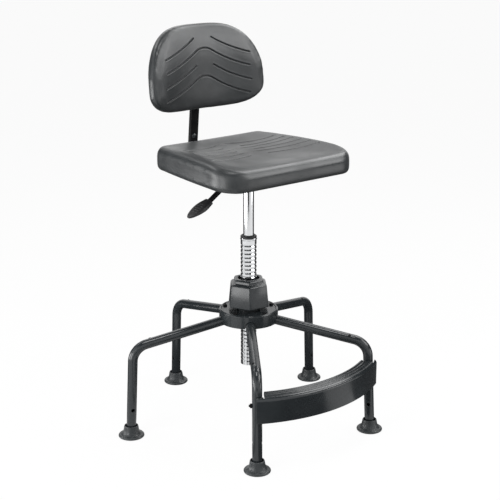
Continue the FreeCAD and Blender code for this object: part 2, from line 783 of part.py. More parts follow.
def make_top_bush():
    """Plastic bush in the column's mouth that guides the gas cylinder."""
    inner = CYLINDER_R + SLIDE_GAP
    outer = COLUMN_BORE_R - SEAT_GAP
    top = COLUMN_TOP + TOP_BUSH_FLANGE_H
    return spun([
        (inner, COLUMN_TOP - TOP_BUSH_LENGTH),
        (outer, COLUMN_TOP - TOP_BUSH_LENGTH),
        (outer, COLUMN_TOP),
        (TOP_BUSH_FLANGE_R, COLUMN_TOP),
        (TOP_BUSH_FLANGE_R, top - TOP_BUSH_CHAMFER),
        (TOP_BUSH_FLANGE_R - TOP_BUSH_CHAMFER, top),
        (inner + TOP_BUSH_CHAMFER, top),
        (inner, top - TOP_BUSH_CHAMFER),
    ])


# Heights inside the column's foot
CAP_Z = COLUMN_BOTTOM + COLUMN_LIP_T
BEARING_Z = CAP_Z + BASE_CAP_T
SHOULDER_Z = BEARING_Z + 2 * BEARING_WASHER_T + BEARING_CAGE_T


def make_base_cap():
    """Disc on the column's inner lip that carries the thrust bearing."""
    return ring(COLUMN_BORE_R - SEAT_GAP, ROD_R + SLIDE_GAP, CAP_Z, BEARING_Z)


def make_thrust_bearing():
    """Two washers with a caged row of balls between them."""
    inner = ROD_R + SLIDE_GAP
    lower = ring(BEARING_R, inner, BEARING_Z, BEARING_Z + BEARING_WASHER_T)
    upper = ring(BEARING_R, inner, SHOULDER_Z - BEARING_WASHER_T, SHOULDER_Z)
    ball_r = BEARING_CAGE_T / 2
    middle = BEARING_Z + BEARING_WASHER_T + ball_r
    track_r = (BEARING_R + inner) / 2
    balls = []
    for index in range(BEARING_BALLS):
        place = outward(index * 360.0 / BEARING_BALLS) * track_r + UP * middle
        balls.append(Part.makeSphere(ball_r, place))
    return Part.makeCompound([lower, upper] + balls)


# Heights of the gas spring
CYLINDER_BOTTOM = COLUMN_TOP - CYLINDER_GUIDED
CYLINDER_TOP = SEAT_Z - CYLINDER_BELOW_SEAT
CYLINDER_BORE_R = CYLINDER_R - CYLINDER_WALL
PISTON_Z = CYLINDER_BOTTOM + GLAND_H + PISTON_FROM_GLAND


def make_piston_rod():
    """Steel rod with a shoulder on the thrust bearing, from the column's foot to the piston."""
    shoulder = ring(ROD_SHOULDER_R, 0, SHOULDER_Z, SHOULDER_Z + ROD_SHOULDER_H)
    return rod(ROD_R, UP * COLUMN_BOTTOM, UP * PISTON_Z).fuse(shoulder).removeSplitter()


def make_piston_head():
    """Piston that the cylinder slides over, with a seal groove."""
    outer = CYLINDER_BORE_R - SLIDE_GAP
    groove = PISTON_H / 4
    middle = PISTON_Z + PISTON_H / 2
    return spun([
        (0, PISTON_Z),
        (outer, PISTON_Z),
        (outer, middle - groove / 2),
        (outer - groove / 2, middle - groove / 2),
        (outer - groove / 2, middle + groove / 2),
        (outer, middle + groove / 2),
        (outer, PISTON_Z + PISTON_H),
        (0, PISTON_Z + PISTON_H),
    ])


def make_rod_clip():
    """Open spring clip under the base cap."""
    clip = ring(CLIP_R, ROD_R + SEAT_GAP, CAP_Z - SLIDE_GAP - CLIP_T, CAP_Z - SLIDE_GAP)
    mouth = box(Vector(-ROD_R / 2, -2 * CLIP_R, 0), Vector(ROD_R / 2, 0, CAP_Z))
    return clip.cut(mouth)


def make_gas_cylinder():
    """Chromed cylinder, open at the foot for the gland and plugged at the top round the valve button."""
    plug_bottom = CYLINDER_TOP - CYLINDER_PLUG_H
    button_r = BUTTON_R + SLIDE_GAP
    floor = CYLINDER_TOP - BUTTON_DEPTH - BUTTON_TRAVEL_ROOM
    return spun([
        (CYLINDER_BORE_R, CYLINDER_BOTTOM),
        (CYLINDER_R, CYLINDER_BOTTOM),
        (CYLINDER_R, CYLINDER_TOP - 2),
        (CYLINDER_R - 2, CYLINDER_TOP),
        (button_r, CYLINDER_TOP),
        (button_r, floor),
        (0, floor),
        (0, plug_bottom),
        (CYLINDER_BORE_R, plug_bottom),
    ])


def make_gland():
    """Ring that closes the cylinder's foot round the piston rod."""
    top = CYLINDER_BOTTOM + GLAND_H
    return ring(CYLINDER_BORE_R - SEAT_GAP, ROD_R + SLIDE_GAP, CYLINDER_BOTTOM, top)


BUTTON_TOP = CYLINDER_TOP + BUTTON_STANDOUT
LEVER_Z = BUTTON_TOP + SLIDE_GAP + LEVER_FINGER_R


def make_valve_button():
    """Release pin in the top of the gas cylinder."""
    return spun([
        (0, CYLINDER_TOP - BUTTON_DEPTH),
        (BUTTON_R, CYLINDER_TOP - BUTTON_DEPTH),
        (BUTTON_R, BUTTON_TOP - 1),
        (BUTTON_R - 1, BUTTON_TOP),
        (0, BUTTON_TOP),
    ])


def plate_screw_points():
    """Corners of the seat plate's screw pattern, on the plate's underside."""
    half_w = PLATE_W / 2 - SEAT_SCREW_INSET
    half_d = PLATE_D / 2 - SEAT_SCREW_INSET
    low = SEAT_Z - PLATE_T
    ends = (PLATE_CENTRE_Y - half_d, PLATE_CENTRE_Y + half_d)
    return [Vector(x, y, low) for x in (-half_w, half_w) for y in ends]


GUIDE_TOP = SEAT_Z - PLATE_T
BAR_Z = GUIDE_TOP - SLIDE_GAP - BAR_T / 2
GUIDE_FLOOR = BAR_Z - BAR_T / 2 - SLIDE_GAP
GUIDE_MIDDLE_Y = GUIDE_Y + GUIDE_LENGTH / 2


def make_seat_plate():
    """Pressed plate with two ribs, the taper socket, lever ears and the back bar's guide."""
    low = SEAT_Z - PLATE_T
    half_w = PLATE_W / 2
    half_d = PLATE_D / 2
    front, rear = PLATE_CENTRE_Y - half_d, PLATE_CENTRE_Y + half_d
    plan = ((-half_w, front), (half_w, front), (half_w, rear), (-half_w, rear))
    outline = rounded_polygon([Vector(x, y, low) for x, y in plan], PLATE_CORNER_R)
    plate = Part.Face(outline).extrude(UP * PLATE_T)
    rib_low = low - PLATE_RIB_H
    for side in (-1, 1):
        near = side * PLATE_RIB_X - PLATE_T / 2
        start = Vector(near, front + PLATE_CORNER_R, rib_low)
        plate = plate.fuse(box(start, Vector(near + PLATE_T, rear - PLATE_CORNER_R, low)))
    socket_bottom = SEAT_Z - SOCKET_LENGTH
    socket_r = CYLINDER_R + SEAT_GAP + SOCKET_WALL
    plate = plate.fuse(ring(socket_r, CYLINDER_R + SEAT_GAP, socket_bottom, low))
    ear_y = LEVER_W / 2 + LEVER_EAR_GAP
    ear_x = LEVER_PIVOT_X
    for side in (-1, 1):
        y_near, y_far = sorted((side * ear_y, side * (ear_y + LEVER_EAR_T)))
        start = Vector(ear_x - LEVER_BOSS_R, y_near, LEVER_Z - LEVER_BOSS_R)
        plate = plate.fuse(box(start, Vector(ear_x + LEVER_BOSS_R, y_far, low)))
    guide_half = BAR_W / 2 + SLIDE_GAP
    guide_out = guide_half + GUIDE_WALL
    guide_end = GUIDE_Y + GUIDE_LENGTH
    guide = box(Vector(-guide_out, GUIDE_Y, GUIDE_FLOOR - GUIDE_WALL), Vector(guide_out, guide_end, low))
    tunnel = box(Vector(-guide_half, GUIDE_Y - 1, GUIDE_FLOOR), Vector(guide_half, guide_end + 1, GUIDE_TOP))
    plate = plate.fuse(guide.cut(tunnel))
    window_half = LEVER_W / 2 + LEVER_EAR_GAP
    window_low = LEVER_Z - LEVER_T / 2 - LEVER_WINDOW_GAP - LEVER_FINGER_R
    plate = plate.cut(box(Vector(-PLATE_W, -window_half, window_low), Vector(0, window_half, low)))
    pin_at = Vector(ear_x, 0, LEVER_Z)
    plate = plate.cut(rod(LEVER_PIN_R + SEAT_GAP, pin_at - REAR * PLATE_D, pin_at + REAR * PLATE_D))
    stem_end = Vector(0, GUIDE_MIDDLE_Y, GUIDE_FLOOR)
    plate = plate.cut(rod(KNOB_STEM_R + RUNNING_GAP, stem_end - UP * (2 * GUIDE_WALL), stem_end))
    for point in plate_screw_points():
        plate = plate.cut(rod(SEAT_SCREW_R + HOLE_GAP, point - UP, point + UP * (PLATE_T + 1)))
    return plate.removeSplitter()


def make_seat_screw(point):
    """Dome-headed screw up through the plate into the board."""
    head = dome(SEAT_SCREW_HEAD_R, SEAT_SCREW_HEAD_H, point, -UP)
    shank = rod(SEAT_SCREW_R, point, point + UP * (PLATE_T + SEAT_BOARD_T - 1))
    return head.fuse(shank).removeSplitter()


def make_lever_pin():
    """Pivot pin of the release lever, through both ears."""
    reach = LEVER_W / 2 + LEVER_EAR_GAP + LEVER_EAR_T + 1
    middle = Vector(LEVER_PIVOT_X, 0, LEVER_Z)
    return rod(LEVER_PIN_R, middle - REAR * reach, middle + REAR * reach)


LEVER_SLOPE = math.radians(LEVER_DROOP)
LEVER_ALONG = Vector(-math.cos(LEVER_SLOPE), 0, -math.sin(LEVER_SLOPE))
LEVER_BEND = Vector(LEVER_BEND_X, 0, LEVER_Z)
LEVER_END = LEVER_BEND + LEVER_ALONG * LEVER_ROD_RUN


def make_lever_rod():
    """Flat lever with a rounded finger over the valve button, a pivot boss and a drooping handle bar."""
    start = Vector(0, 0, LEVER_Z)
    path = bent_path([start, LEVER_BEND, LEVER_END], LEVER_BEND_R)
    bar = flat_sweep(path, (REAR, LEVER_W), LEVER_T)
    half = REAR * (LEVER_W / 2)
    pivot = Vector(LEVER_PIVOT_X, 0, LEVER_Z)
    bar = bar.fuse(rod(LEVER_FINGER_R, start - half, start + half))
    bar = bar.fuse(rod(LEVER_BOSS_R - 1, pivot - half, pivot + half))
    pin_hole = rod(LEVER_PIN_R + RUNNING_GAP, pivot - half * 2, pivot + half * 2)
    return bar.cut(pin_hole).removeSplitter()


# Stations of the paddle: share of its length, of its width and of its thickness
PADDLE_STATIONS = (
    (0.0, 0.66, 0.9),
    (0.16, 0.8, 1.0),
    (0.42, 1.0, 0.9),
    (0.72, 0.84, 0.62),
    (0.92, 0.5, 0.4),
    (1.0, 0.2, 0.25),
)


def make_lever_paddle():
    """Leaf-shaped grip pushed over the end of the lever, ribbed across its upper face."""
    droop = math.radians(PADDLE_DROOP)
    along = Vector(-math.cos(droop), 0, -math.sin(droop))
    over = Vector(-math.sin(droop), 0, math.cos(droop))
    root = LEVER_END - LEVER_ALONG * PADDLE_OVERLAP
    sections = []
    for share, wide, thick in PADDLE_STATIONS:
        middle = root + along * (PADDLE_LENGTH * share)
        half_w = PADDLE_W * wide / 2
        half_t = PADDLE_T * thick / 2
        corner = min(half_w, half_t) * 0.7
        plan = ((-half_w, -half_t), (half_w, -half_t), (half_w, half_t), (-half_w, half_t))
        outline = [middle + REAR * y + over * z for y, z in plan]
        sections.append(rounded_polygon(outline, corner))
    grip = Part.makeLoft(sections, True, False)
    pitch = PADDLE_LENGTH / (2 * PADDLE_RIBS)
    for index in range(PADDLE_RIBS):
        middle = root + along * (PADDLE_LENGTH * 0.3 + index * pitch)
        across = REAR * (PADDLE_W * 0.6)
        near = middle - along * (PADDLE_RIB_W / 2) - across * 0.5
        far = near + along * PADDLE_RIB_W
        corners = [near, far, far + across, near + across]
        top = PADDLE_T * (0.45 - 0.03 * index) + PADDLE_RIB_H
        grip = grip.fuse(prism(corners, over * top))
    end = LEVER_END + LEVER_ALONG * SEAT_GAP
    path = bent_path([Vector(0, 0, LEVER_Z), LEVER_BEND, end], LEVER_BEND_R)
    pocket = flat_sweep(path, (REAR, LEVER_W + 2 * SEAT_GAP), LEVER_T + 2 * SEAT_GAP)
    return grip.cut(pocket).removeSplitter()


def eased(distance, radius):
    """How far a quarter round of the given radius is drawn in at a distance from its edge."""
    if distance >= radius:
        return 0.0
    return radius - math.sqrt(radius ** 2 - (radius - distance) ** 2)


def seat_half_width(depth):
    """Half width of the seat at a depth behind its front edge, with rounded corners."""
    share = depth / SEAT_DEPTH
    side = (SEAT_FRONT_W + (SEAT_REAR_W - SEAT_FRONT_W) * share) / 2
    side = side + SEAT_SIDE_BOW * 4 * share * (1 - share)
    rear_round = SEAT_REAR_STRETCH * eased(SEAT_DEPTH - depth, SEAT_REAR_CORNER_R)
    return side - eased(depth, SEAT_FRONT_CORNER_R) - rear_round


def seat_top(depth):
    """Height of the seat's side rims at a depth behind its front edge."""
    fall = max(0.0, 1 - depth / SEAT_WATERFALL_RUN)
    rounding = eased(depth, SEAT_EDGE_R) + eased(SEAT_DEPTH - depth, SEAT_EDGE_R)
    return SEAT_Z + SEAT_THICKNESS - SEAT_WATERFALL * fall ** 2 - rounding


def seat_section(depth):
    """Closed outline of the seat across its width."""
    y = SEAT_FRONT_Y + depth
    half = seat_half_width(depth)
    top = seat_top(depth)
    rounding = eased(depth, SEAT_UNDER_R) + eased(SEAT_DEPTH - depth, SEAT_UNDER_R)
    low = SEAT_Z + SLIDE_GAP + rounding
    share = min(1.0, (min(depth, SEAT_DEPTH - depth) + 2.0) / SEAT_DISH_RUN)
    ends = share ** 2 * (3 - 2 * share)
    dish = SEAT_DISH * ends
    upper = min(SEAT_EDGE_R, (top - low) * 0.45)
    lower = min(SEAT_UNDER_R, (top - low) * 0.25)
    waist = SEAT_WAIST * ends
    cos45 = math.sqrt(0.5)

    def at(x, z):
        return Vector(x, y, z)

    def arc(a, b, c):
        return Part.Arc(a, b, c).toShape()

    mid = (low + lower + top - upper) / 2
    under_in = lower * (1 - cos45)
    upper_in = upper * (1 - cos45)
    edges = [Part.LineSegment(at(lower - half, low), at(half - lower, low)).toShape()]
    edges.append(arc(at(half - lower, low), at(half - under_in, low + under_in), at(half, low + lower)))
    edges.append(arc(at(half, low + lower), at(half - waist, mid), at(half, top - upper)))
    edges.append(arc(at(half, top - upper), at(half - upper_in, top - upper_in), at(half - upper, top)))
    edges.append(arc(at(half - upper, top), at(0, top - dish), at(upper - half, top)))
    edges.append(arc(at(upper - half, top), at(upper_in - half, top - upper_in), at(-half, top - upper)))
    edges.append(arc(at(-half, top - upper), at(waist - half, mid), at(-half, low + lower)))
    edges.append(arc(at(-half, low + lower), at(under_in - half, low + under_in), at(lower - half, low)))
    return Part.Wire(edges)


def seat_board_outline(grow):
    """Wire of the seat board's plan at the seat's underside, grown by a gap."""
    front = SEAT_FRONT_Y + SEAT_BOARD_MARGIN - grow
    rear = SEAT_FRONT_Y + SEAT_DEPTH - SEAT_BOARD_MARGIN + grow
    half = SEAT_REAR_W / 2 - SEAT_BOARD_MARGIN + grow
    plan = ((-half, front), (half, front), (half, rear), (-half, rear))
    return rounded_polygon([Vector(x, y, SEAT_Z) for x, y in plan], SEAT_REAR_CORNER_R)


def make_seat_board():
    """Plywood board moulded into the seat's underside."""
    board = Part.Face(seat_board_outline(0)).extrude(UP * SEAT_BOARD_T)
    depth = UP * (PLATE_T + SEAT_BOARD_T - 0.5)
    for point in plate_screw_points():
        board = board.cut(rod(SEAT_SCREW_R + SEAT_GAP, point, point + depth))
    return board


def arm_points(start, angles, reach, offset, side):
    """Three points of one channel arm's edge: it starts steep and flattens outwards."""
    steep, flat = (math.radians(angle) for angle in angles)
    radius = reach / (math.sin(steep) - math.sin(flat))
    across = start[0] + radius * math.sin(steep)
    along = start[1] + radius * math.cos(steep)
    edge_r = radius - offset
    points = []
    for angle in (steep, (steep + flat) / 2, flat):
        points.append((side * (across - edge_r * math.sin(angle)), along - edge_r * math.cos(angle)))
    return points


def channel_wire(upper, lower, place):
    """Closed wire round a channel from the arcs of its two edges."""
    edges = [Part.Arc(*[place(point) for point in arc]).toShape() for arc in upper + lower]
    edges.append(Part.LineSegment(place(upper[-1][2]), place(lower[-1][2])).toShape())
    edges.append(Part.LineSegment(place(upper[0][0]), place(lower[0][0])).toShape())
    return Part.Wire(Part.__sortEdges__(edges))


def peaked_channel(peak, peak_r, angles, reach, place):
    """Channel of two arms joined by a rounded peak on the middle line."""
    steep = math.radians(angles[0])
    start = (peak_r * math.sin(steep), peak - peak_r * (1 - math.cos(steep)))
    sides = []
    for offset in (CHANNEL_HALF, -CHANNEL_HALF):
        left = arm_points(start, angles, reach, offset, -1)[::-1]
        right = arm_points(start, angles, reach, offset, 1)
        radius = peak_r + offset
        top = (0, peak - peak_r + radius)
        sides.append([left, [left[2], top, right[0]], right])
    return channel_wire(sides[0], sides[1], place)


def arm_channel(start, angles, reach, side, place):
    """Single channel arm on one side of the middle line."""
    edges = [arm_points(start, angles, reach, offset, side) for offset in (CHANNEL_HALF, -CHANNEL_HALF)]
    return channel_wire([edges[0]], [edges[1]], place)


def cut_channels(cushion, wires, outward_run, inward_shift):
    """Cuts channels of even depth: each slot is bounded by the cushion's own face, moved inwards."""
    floor = cushion.copy()
    floor.translate(inward_shift)
    for wire in wires:
        slot = Part.Face(wire).extrude(outward_run).cut(floor)
        cushion = cushion.cut(slot)
    return cushion


def seat_channels():
    """Wires of the seat's chevrons: whole ones and ones that are open at the peak, in turn."""
    def place(point):
        return Vector(point[0], point[1], SEAT_Z + SEAT_CUT_BASE)

    angles = (SEAT_ARM_STEEP, SEAT_ARM_FLAT)
    wires = []
    for peak, arm, reach in zip(SEAT_PEAKS, SEAT_ARMS, SEAT_ARM_REACH):
        wires.append(peaked_channel(peak, SEAT_PEAK_R, angles, reach, place))
        for side in (-1, 1):
            wires.append(arm_channel((SEAT_ARM_START, arm), angles, reach, side, place))
    return wires


# Stations of the seat's sections, as shares of its depth
SEAT_STATIONS = (0, 0.008, 0.025, 0.05, 0.09, 0.15, 0.25, 0.4)
SEAT_STATIONS += (0.6, 0.75, 0.85, 0.91, 0.95, 0.975, 0.992, 1)


def make_seat_cushion():
    """Moulded seat: dished top with raised sides, waterfall front and a pocket for the board."""
    sections = [seat_section(SEAT_DEPTH * share) for share in SEAT_STATIONS]
    cushion = Part.makeLoft(sections, True, False)
    cushion = cut_channels(cushion, seat_channels(), UP * SEAT_THICKNESS, -UP * CHANNEL_CUT)
    pocket = Part.Face(seat_board_outline(SLIDE_GAP)).extrude(UP * (2 * SEAT_BOARD_T + SLIDE_GAP))
    pocket.translate(-UP * SEAT_BOARD_T)
    return cushion.cut(pocket)


LEAN = math.radians(BAR_LEAN)
BAR_UP = Vector(0, -math.sin(LEAN), math.cos(LEAN))
BAR_REAR = Vector(0, math.cos(LEAN), math.sin(LEAN))
UPRIGHT_FRONT = Vector(0, SEAT_FRONT_Y + SEAT_DEPTH + UPRIGHT_GAP, SEAT_Z + SEAT_THICKNESS)
UPRIGHT_TOP_Z = SEAT_Z + UPRIGHT_TOP_RISE
BOLT_HEIGHTS = [SEAT_Z + rise for rise in BOLT_RISES]


def upright_point(height, depth):
    """Point on the back bar's middle plane at a height, set back from the upright's front face."""
    climb = (height - UPRIGHT_FRONT.z) / math.cos(LEAN)
    return UPRIGHT_FRONT + BAR_UP * climb + BAR_REAR * depth


def make_back_bar():
    """Flat bar that slides under the seat and turns up behind it."""
    middle = CHANNEL_WALL + SEAT_GAP + BAR_T / 2
    foot = upright_point(BAR_Z, middle)
    rise = (BAR_Z - foot.z) / BAR_UP.z
    corner = foot + BAR_UP * rise
    line = [Vector(0, BAR_START_Y, BAR_Z), corner, upright_point(SEAT_Z + BAR_RISE, middle)]
    bar = flat_sweep(bent_path(line, BAR_BEND_R), (SIDE, BAR_W), BAR_T)
    for height in BOLT_HEIGHTS:
        front = upright_point(height, 0)
        bar = bar.cut(rod(BOLT_R + HOLE_GAP, front, front + BAR_REAR * (2 * CHANNEL_DEPTH)))
    return bar


def make_upright():
    """Channel that stands over the back bar's end and carries the backrest."""
    start = upright_point(SEAT_Z + UPRIGHT_FOOT_RISE, 0)
    end = upright_point(UPRIGHT_TOP_Z, 0)
    half = SIDE * (CHANNEL_W / 2)
    channel = prism([start - half, start + half, end + half, end - half], BAR_REAR * CHANNEL_DEPTH)
    inner = SIDE * (CHANNEL_W / 2 - CHANNEL_WALL)
    low = start - BAR_UP * CHANNEL_DEPTH + BAR_REAR * CHANNEL_WALL
    high = end + BAR_UP * CHANNEL_DEPTH + BAR_REAR * CHANNEL_WALL
    corners = [low - inner, low + inner, high + inner, high - inner]
    channel = channel.cut(prism(corners, BAR_REAR * CHANNEL_DEPTH))
    for height in BOLT_HEIGHTS:
        ahead = upright_point(height, -CHANNEL_WALL)
        channel = channel.cut(rod(BOLT_R + HOLE_GAP, ahead, upright_point(height, 2 * CHANNEL_WALL)))
    return channel


def make_upright_bolt(height):
    """Round-headed bolt that clamps the upright to the back bar."""
    front = upright_point(height, 0)
    head = dome(BOLT_HEAD_R, BOLT_HEAD_H, front, -BAR_REAR)
    tail = upright_point(height, CHANNEL_WALL + SEAT_GAP + BAR_T + BOLT_NUT_H + 2)
    return head.fuse(rod(BOLT_R, front, tail)).removeSplitter()


def make_upright_nut(height):
    """Nut behind the back bar."""
    seat = upright_point(height, CHANNEL_WALL + SEAT_GAP + BAR_T)
    nut = hexagon_rod(BOLT_HEAD_R, seat, BAR_REAR * BOLT_NUT_H)
    return nut.cut(rod(BOLT_R + RUNNING_GAP, seat - BAR_REAR, seat + BAR_REAR * (2 * BOLT_NUT_H)))


def make_knob(tip, away, stem):
    """Lobed hand knob on a threaded stem: tip is the stem's end and away points to the knob."""
    def at(distance):
        return tip + away * distance

    body = Part.makeCylinder(KNOB_R, KNOB_H, at(stem + KNOB_NECK_H), away)
    body = body.makeFillet(2.0, [body.Edges[0], body.Edges[2]])
    across = SIDE if abs(away.x) < 0.5 else UP
    other = away.cross(across)
    for index in range(KNOB_LOBES):
        angle = math.radians(360.0 * index / KNOB_LOBES)
        aside = across * math.cos(angle) + other * math.sin(angle)
        offset = aside * (KNOB_R + KNOB_SCALLOP_R * 0.45)
        end = at(stem + 2 * KNOB_NECK_H + KNOB_H)
        body = body.cut(rod(KNOB_SCALLOP_R, at(stem) + offset, end + offset))
    neck = rod(KNOB_NECK_R, at(stem), at(stem + KNOB_NECK_H))
    shank = rod(KNOB_STEM_R, at(0), at(stem))
    return body.fuse(neck).fuse(shank).removeSplitter()


def make_depth_knob():
    """Knob under the seat that clamps the back bar in its guide."""
    tip = Vector(0, GUIDE_MIDDLE_Y, GUIDE_FLOOR)
    return make_knob(tip, -UP, GUIDE_WALL + 2)


def back_outline(share):
    """Lower and upper edge of the backrest at a share of its half width, from its middle."""
    side = -BACK_SIDE_DROP
    bulge = abs(share)
    upper = side + (BACK_H / 2 - side) * (1 - bulge ** BACK_TOP_POWER) ** 0.5
    lower = side - (BACK_H / 2 + side) * (1 - bulge ** BACK_BOTTOM_POWER) ** 0.5
    return lower, upper


def back_depth(x):
    """Front and rear depth of the backrest at a place across its width, before it is tilted."""
    centre = math.sqrt(BACK_CURVE_R ** 2 - x ** 2) - BACK_CURVE_R
    thick = BACK_THICKNESS - BACK_EDGE_THIN * (2 * x / BACK_W) ** 2
    return centre - thick / 2, centre + thick / 2


def back_section(share):
    """Closed outline of the backrest across its thickness, at a share of its half width."""
    x = share * BACK_W / 2
    lower, upper = back_outline(share)
    front, rear = back_depth(x)
    end = eased((1 - abs(share)) * BACK_W / 2, BACK_EDGE_R)
    front = front + end * 0.8
    rear = rear - end * 0.8
    corner = min(BACK_EDGE_R, (rear - front) * 0.42, (upper - lower) * 0.42)
    plan = ((front, lower), (rear, lower), (rear, upper), (front, upper))
    return rounded_polygon([Vector(x, y, z) for y, z in plan], corner)


BACK_CENTRE = upright_point(SEAT_Z + BACK_RISE, 0) - REAR * BACK_AHEAD


def set_back(shape):
    """Tilts and places a piece that was made about the backrest's middle."""
    placed = shape.copy()
    placed.rotate(ORIGIN, SIDE, -BACK_TILT)
    placed.translate(BACK_CENTRE)
    return placed


BACK_STATIONS = (0.0, 0.2, 0.4, 0.58, 0.72, 0.83, 0.91, 0.96, 0.988)
BOARD_REAR = BACK_THICKNESS / 2 - BACK_RECESS
BOARD_FRONT = BOARD_REAR - BACK_BOARD_T


def back_board_box(grow, depth):
    """Box of the back board's space, grown by a gap and reaching back to a depth."""
    half_w = BACK_BOARD_W / 2 + grow
    low = -BACK_BOARD_DROP - BACK_BOARD_H / 2 - grow
    high = -BACK_BOARD_DROP + BACK_BOARD_H / 2 + grow
    return box(Vector(-half_w, BOARD_FRONT - grow, low), Vector(half_w, depth, high))


def back_channels():
    """Wires of the backrest's chevrons, before the tilt."""
    def place(point):
        return Vector(point[0], BACK_CUT_BASE, point[1])

    angles = (BACK_ARM_STEEP, BACK_ARM_FLAT)
    wires = []
    for peak, arm, reach in zip(BACK_PEAKS, BACK_ARMS, BACK_ARM_REACH):
        wires.append(peaked_channel(peak, BACK_PEAK_R, angles, reach, place))
        for side in (-1, 1):
            wires.append(arm_channel((BACK_ARM_START, arm), angles, reach, side, place))
    return wires


def make_backrest_cushion():
    """Moulded backrest: D-shaped, hollowed across its width, recessed behind for board and upright."""
    shares = [-share for share in reversed(BACK_STATIONS[1:])] + list(BACK_STATIONS)
    cushion = Part.makeLoft([back_section(share) for share in shares], True, False)
    cushion = cut_channels(cushion, back_channels(), -REAR * BACK_W, REAR * CHANNEL_CUT)
    cushion = cushion.cut(back_board_box(SLIDE_GAP, BACK_THICKNESS))
    half = BACK_RECESS_HALF_W
    top = UPRIGHT_TOP_Z - BACK_CENTRE.z + BACK_TRAVEL + BACK_RECESS_ROOM
    recess = box(Vector(-half, BOARD_REAR, -BACK_H), Vector(half, BACK_THICKNESS, top))
    return set_back(cushion.cut(recess))


def back_screw_points():
    """Corners of the bracket's screw pattern on the bracket's rear face, before the tilt."""
    half_w = BRACKET_W / 2 - BACK_SCREW_INSET
    half_h = BRACKET_H / 2 - BACK_SCREW_INSET
    rear = BOARD_REAR + BRACKET_T
    heights = (-BACK_BOARD_DROP - half_h, -BACK_BOARD_DROP + half_h)
    return [Vector(x, rear, z) for x in (-half_w, half_w) for z in heights]


def make_back_board():
    """Board moulded into the backrest, with holes for the bracket's screws."""
    board = back_board_box(0, BOARD_REAR)
    depth = REAR * (BRACKET_T + BACK_BOARD_T - 1)
    for point in back_screw_points():
        board = board.cut(rod(BACK_SCREW_R + SEAT_GAP, point - depth, point))
    return set_back(board)


def make_back_screw(point):
    """Dome-headed screw through the bracket into the board."""
    head = dome(BACK_SCREW_HEAD_R, BACK_SCREW_HEAD_H, point, REAR)
    shank = rod(BACK_SCREW_R, point - REAR * (BRACKET_T + BACK_BOARD_T - 2), point)
    return set_back(head.fuse(shank).removeSplitter())


SLEEVE_MIDDLE = BACK_CENTRE.z - BACK_BOARD_DROP


def upright_box(half_w, front, rear, half_length):
    """Box in the upright's leaning frame, about the sleeve's middle."""
    middle = upright_point(SLEEVE_MIDDLE, front)
    low, high = middle - BAR_UP * half_length, middle + BAR_UP * half_length
    across = SIDE * half_w
    return prism([low - across, low + across, high + across, high - across], BAR_REAR * (rear - front))


def make_back_bracket():
    """Bracket on the backrest's board with a sleeve that slides on the upright."""
    middle = Vector(0, BOARD_REAR, -BACK_BOARD_DROP)
    half = Vector(BRACKET_W / 2, 0, BRACKET_H / 2)
    plate = set_back(box(middle - half, middle + half + REAR * BRACKET_T))
    gap = SLIDE_GAP
    inner_half = CHANNEL_W / 2 + gap
    outer_half = inner_half + BRACKET_T
    rear = CHANNEL_DEPTH + gap
    sleeve = upright_box(outer_half, -BACK_THICKNESS, rear + BRACKET_T, SLEEVE_LENGTH / 2)
    keep = set_back(box(Vector(-BACK_W, BOARD_REAR, -BACK_H), Vector(BACK_W, BACK_W, BACK_H)))
    sleeve = sleeve.common(keep)
    body = plate.fuse(sleeve)
    body = body.cut(upright_box(inner_half, -gap, rear, SLEEVE_LENGTH))
    stem_from = upright_point(SLEEVE_MIDDLE, CHANNEL_DEPTH)
    body = body.cut(rod(KNOB_STEM_R + RUNNING_GAP, stem_from, stem_from + BAR_REAR * (4 * BRACKET_T)))
    for point in back_screw_points():
        hole = rod(BACK_SCREW_R + HOLE_GAP, point - REAR * (2 * BRACKET_T), point + REAR)
        body = body.cut(set_back(hole))
    return body.removeSplitter()


def make_height_knob():
    """Knob behind the backrest that clamps the sleeve on the upright."""
    tip = upright_point(SLEEVE_MIDDLE, CHANNEL_DEPTH + SLIDE_GAP)
    return make_knob(tip, BAR_REAR, BRACKET_T + 2)


def compound(shapes):
    """Group of separate solids in one node."""
    return Part.makeCompound(list(shapes))


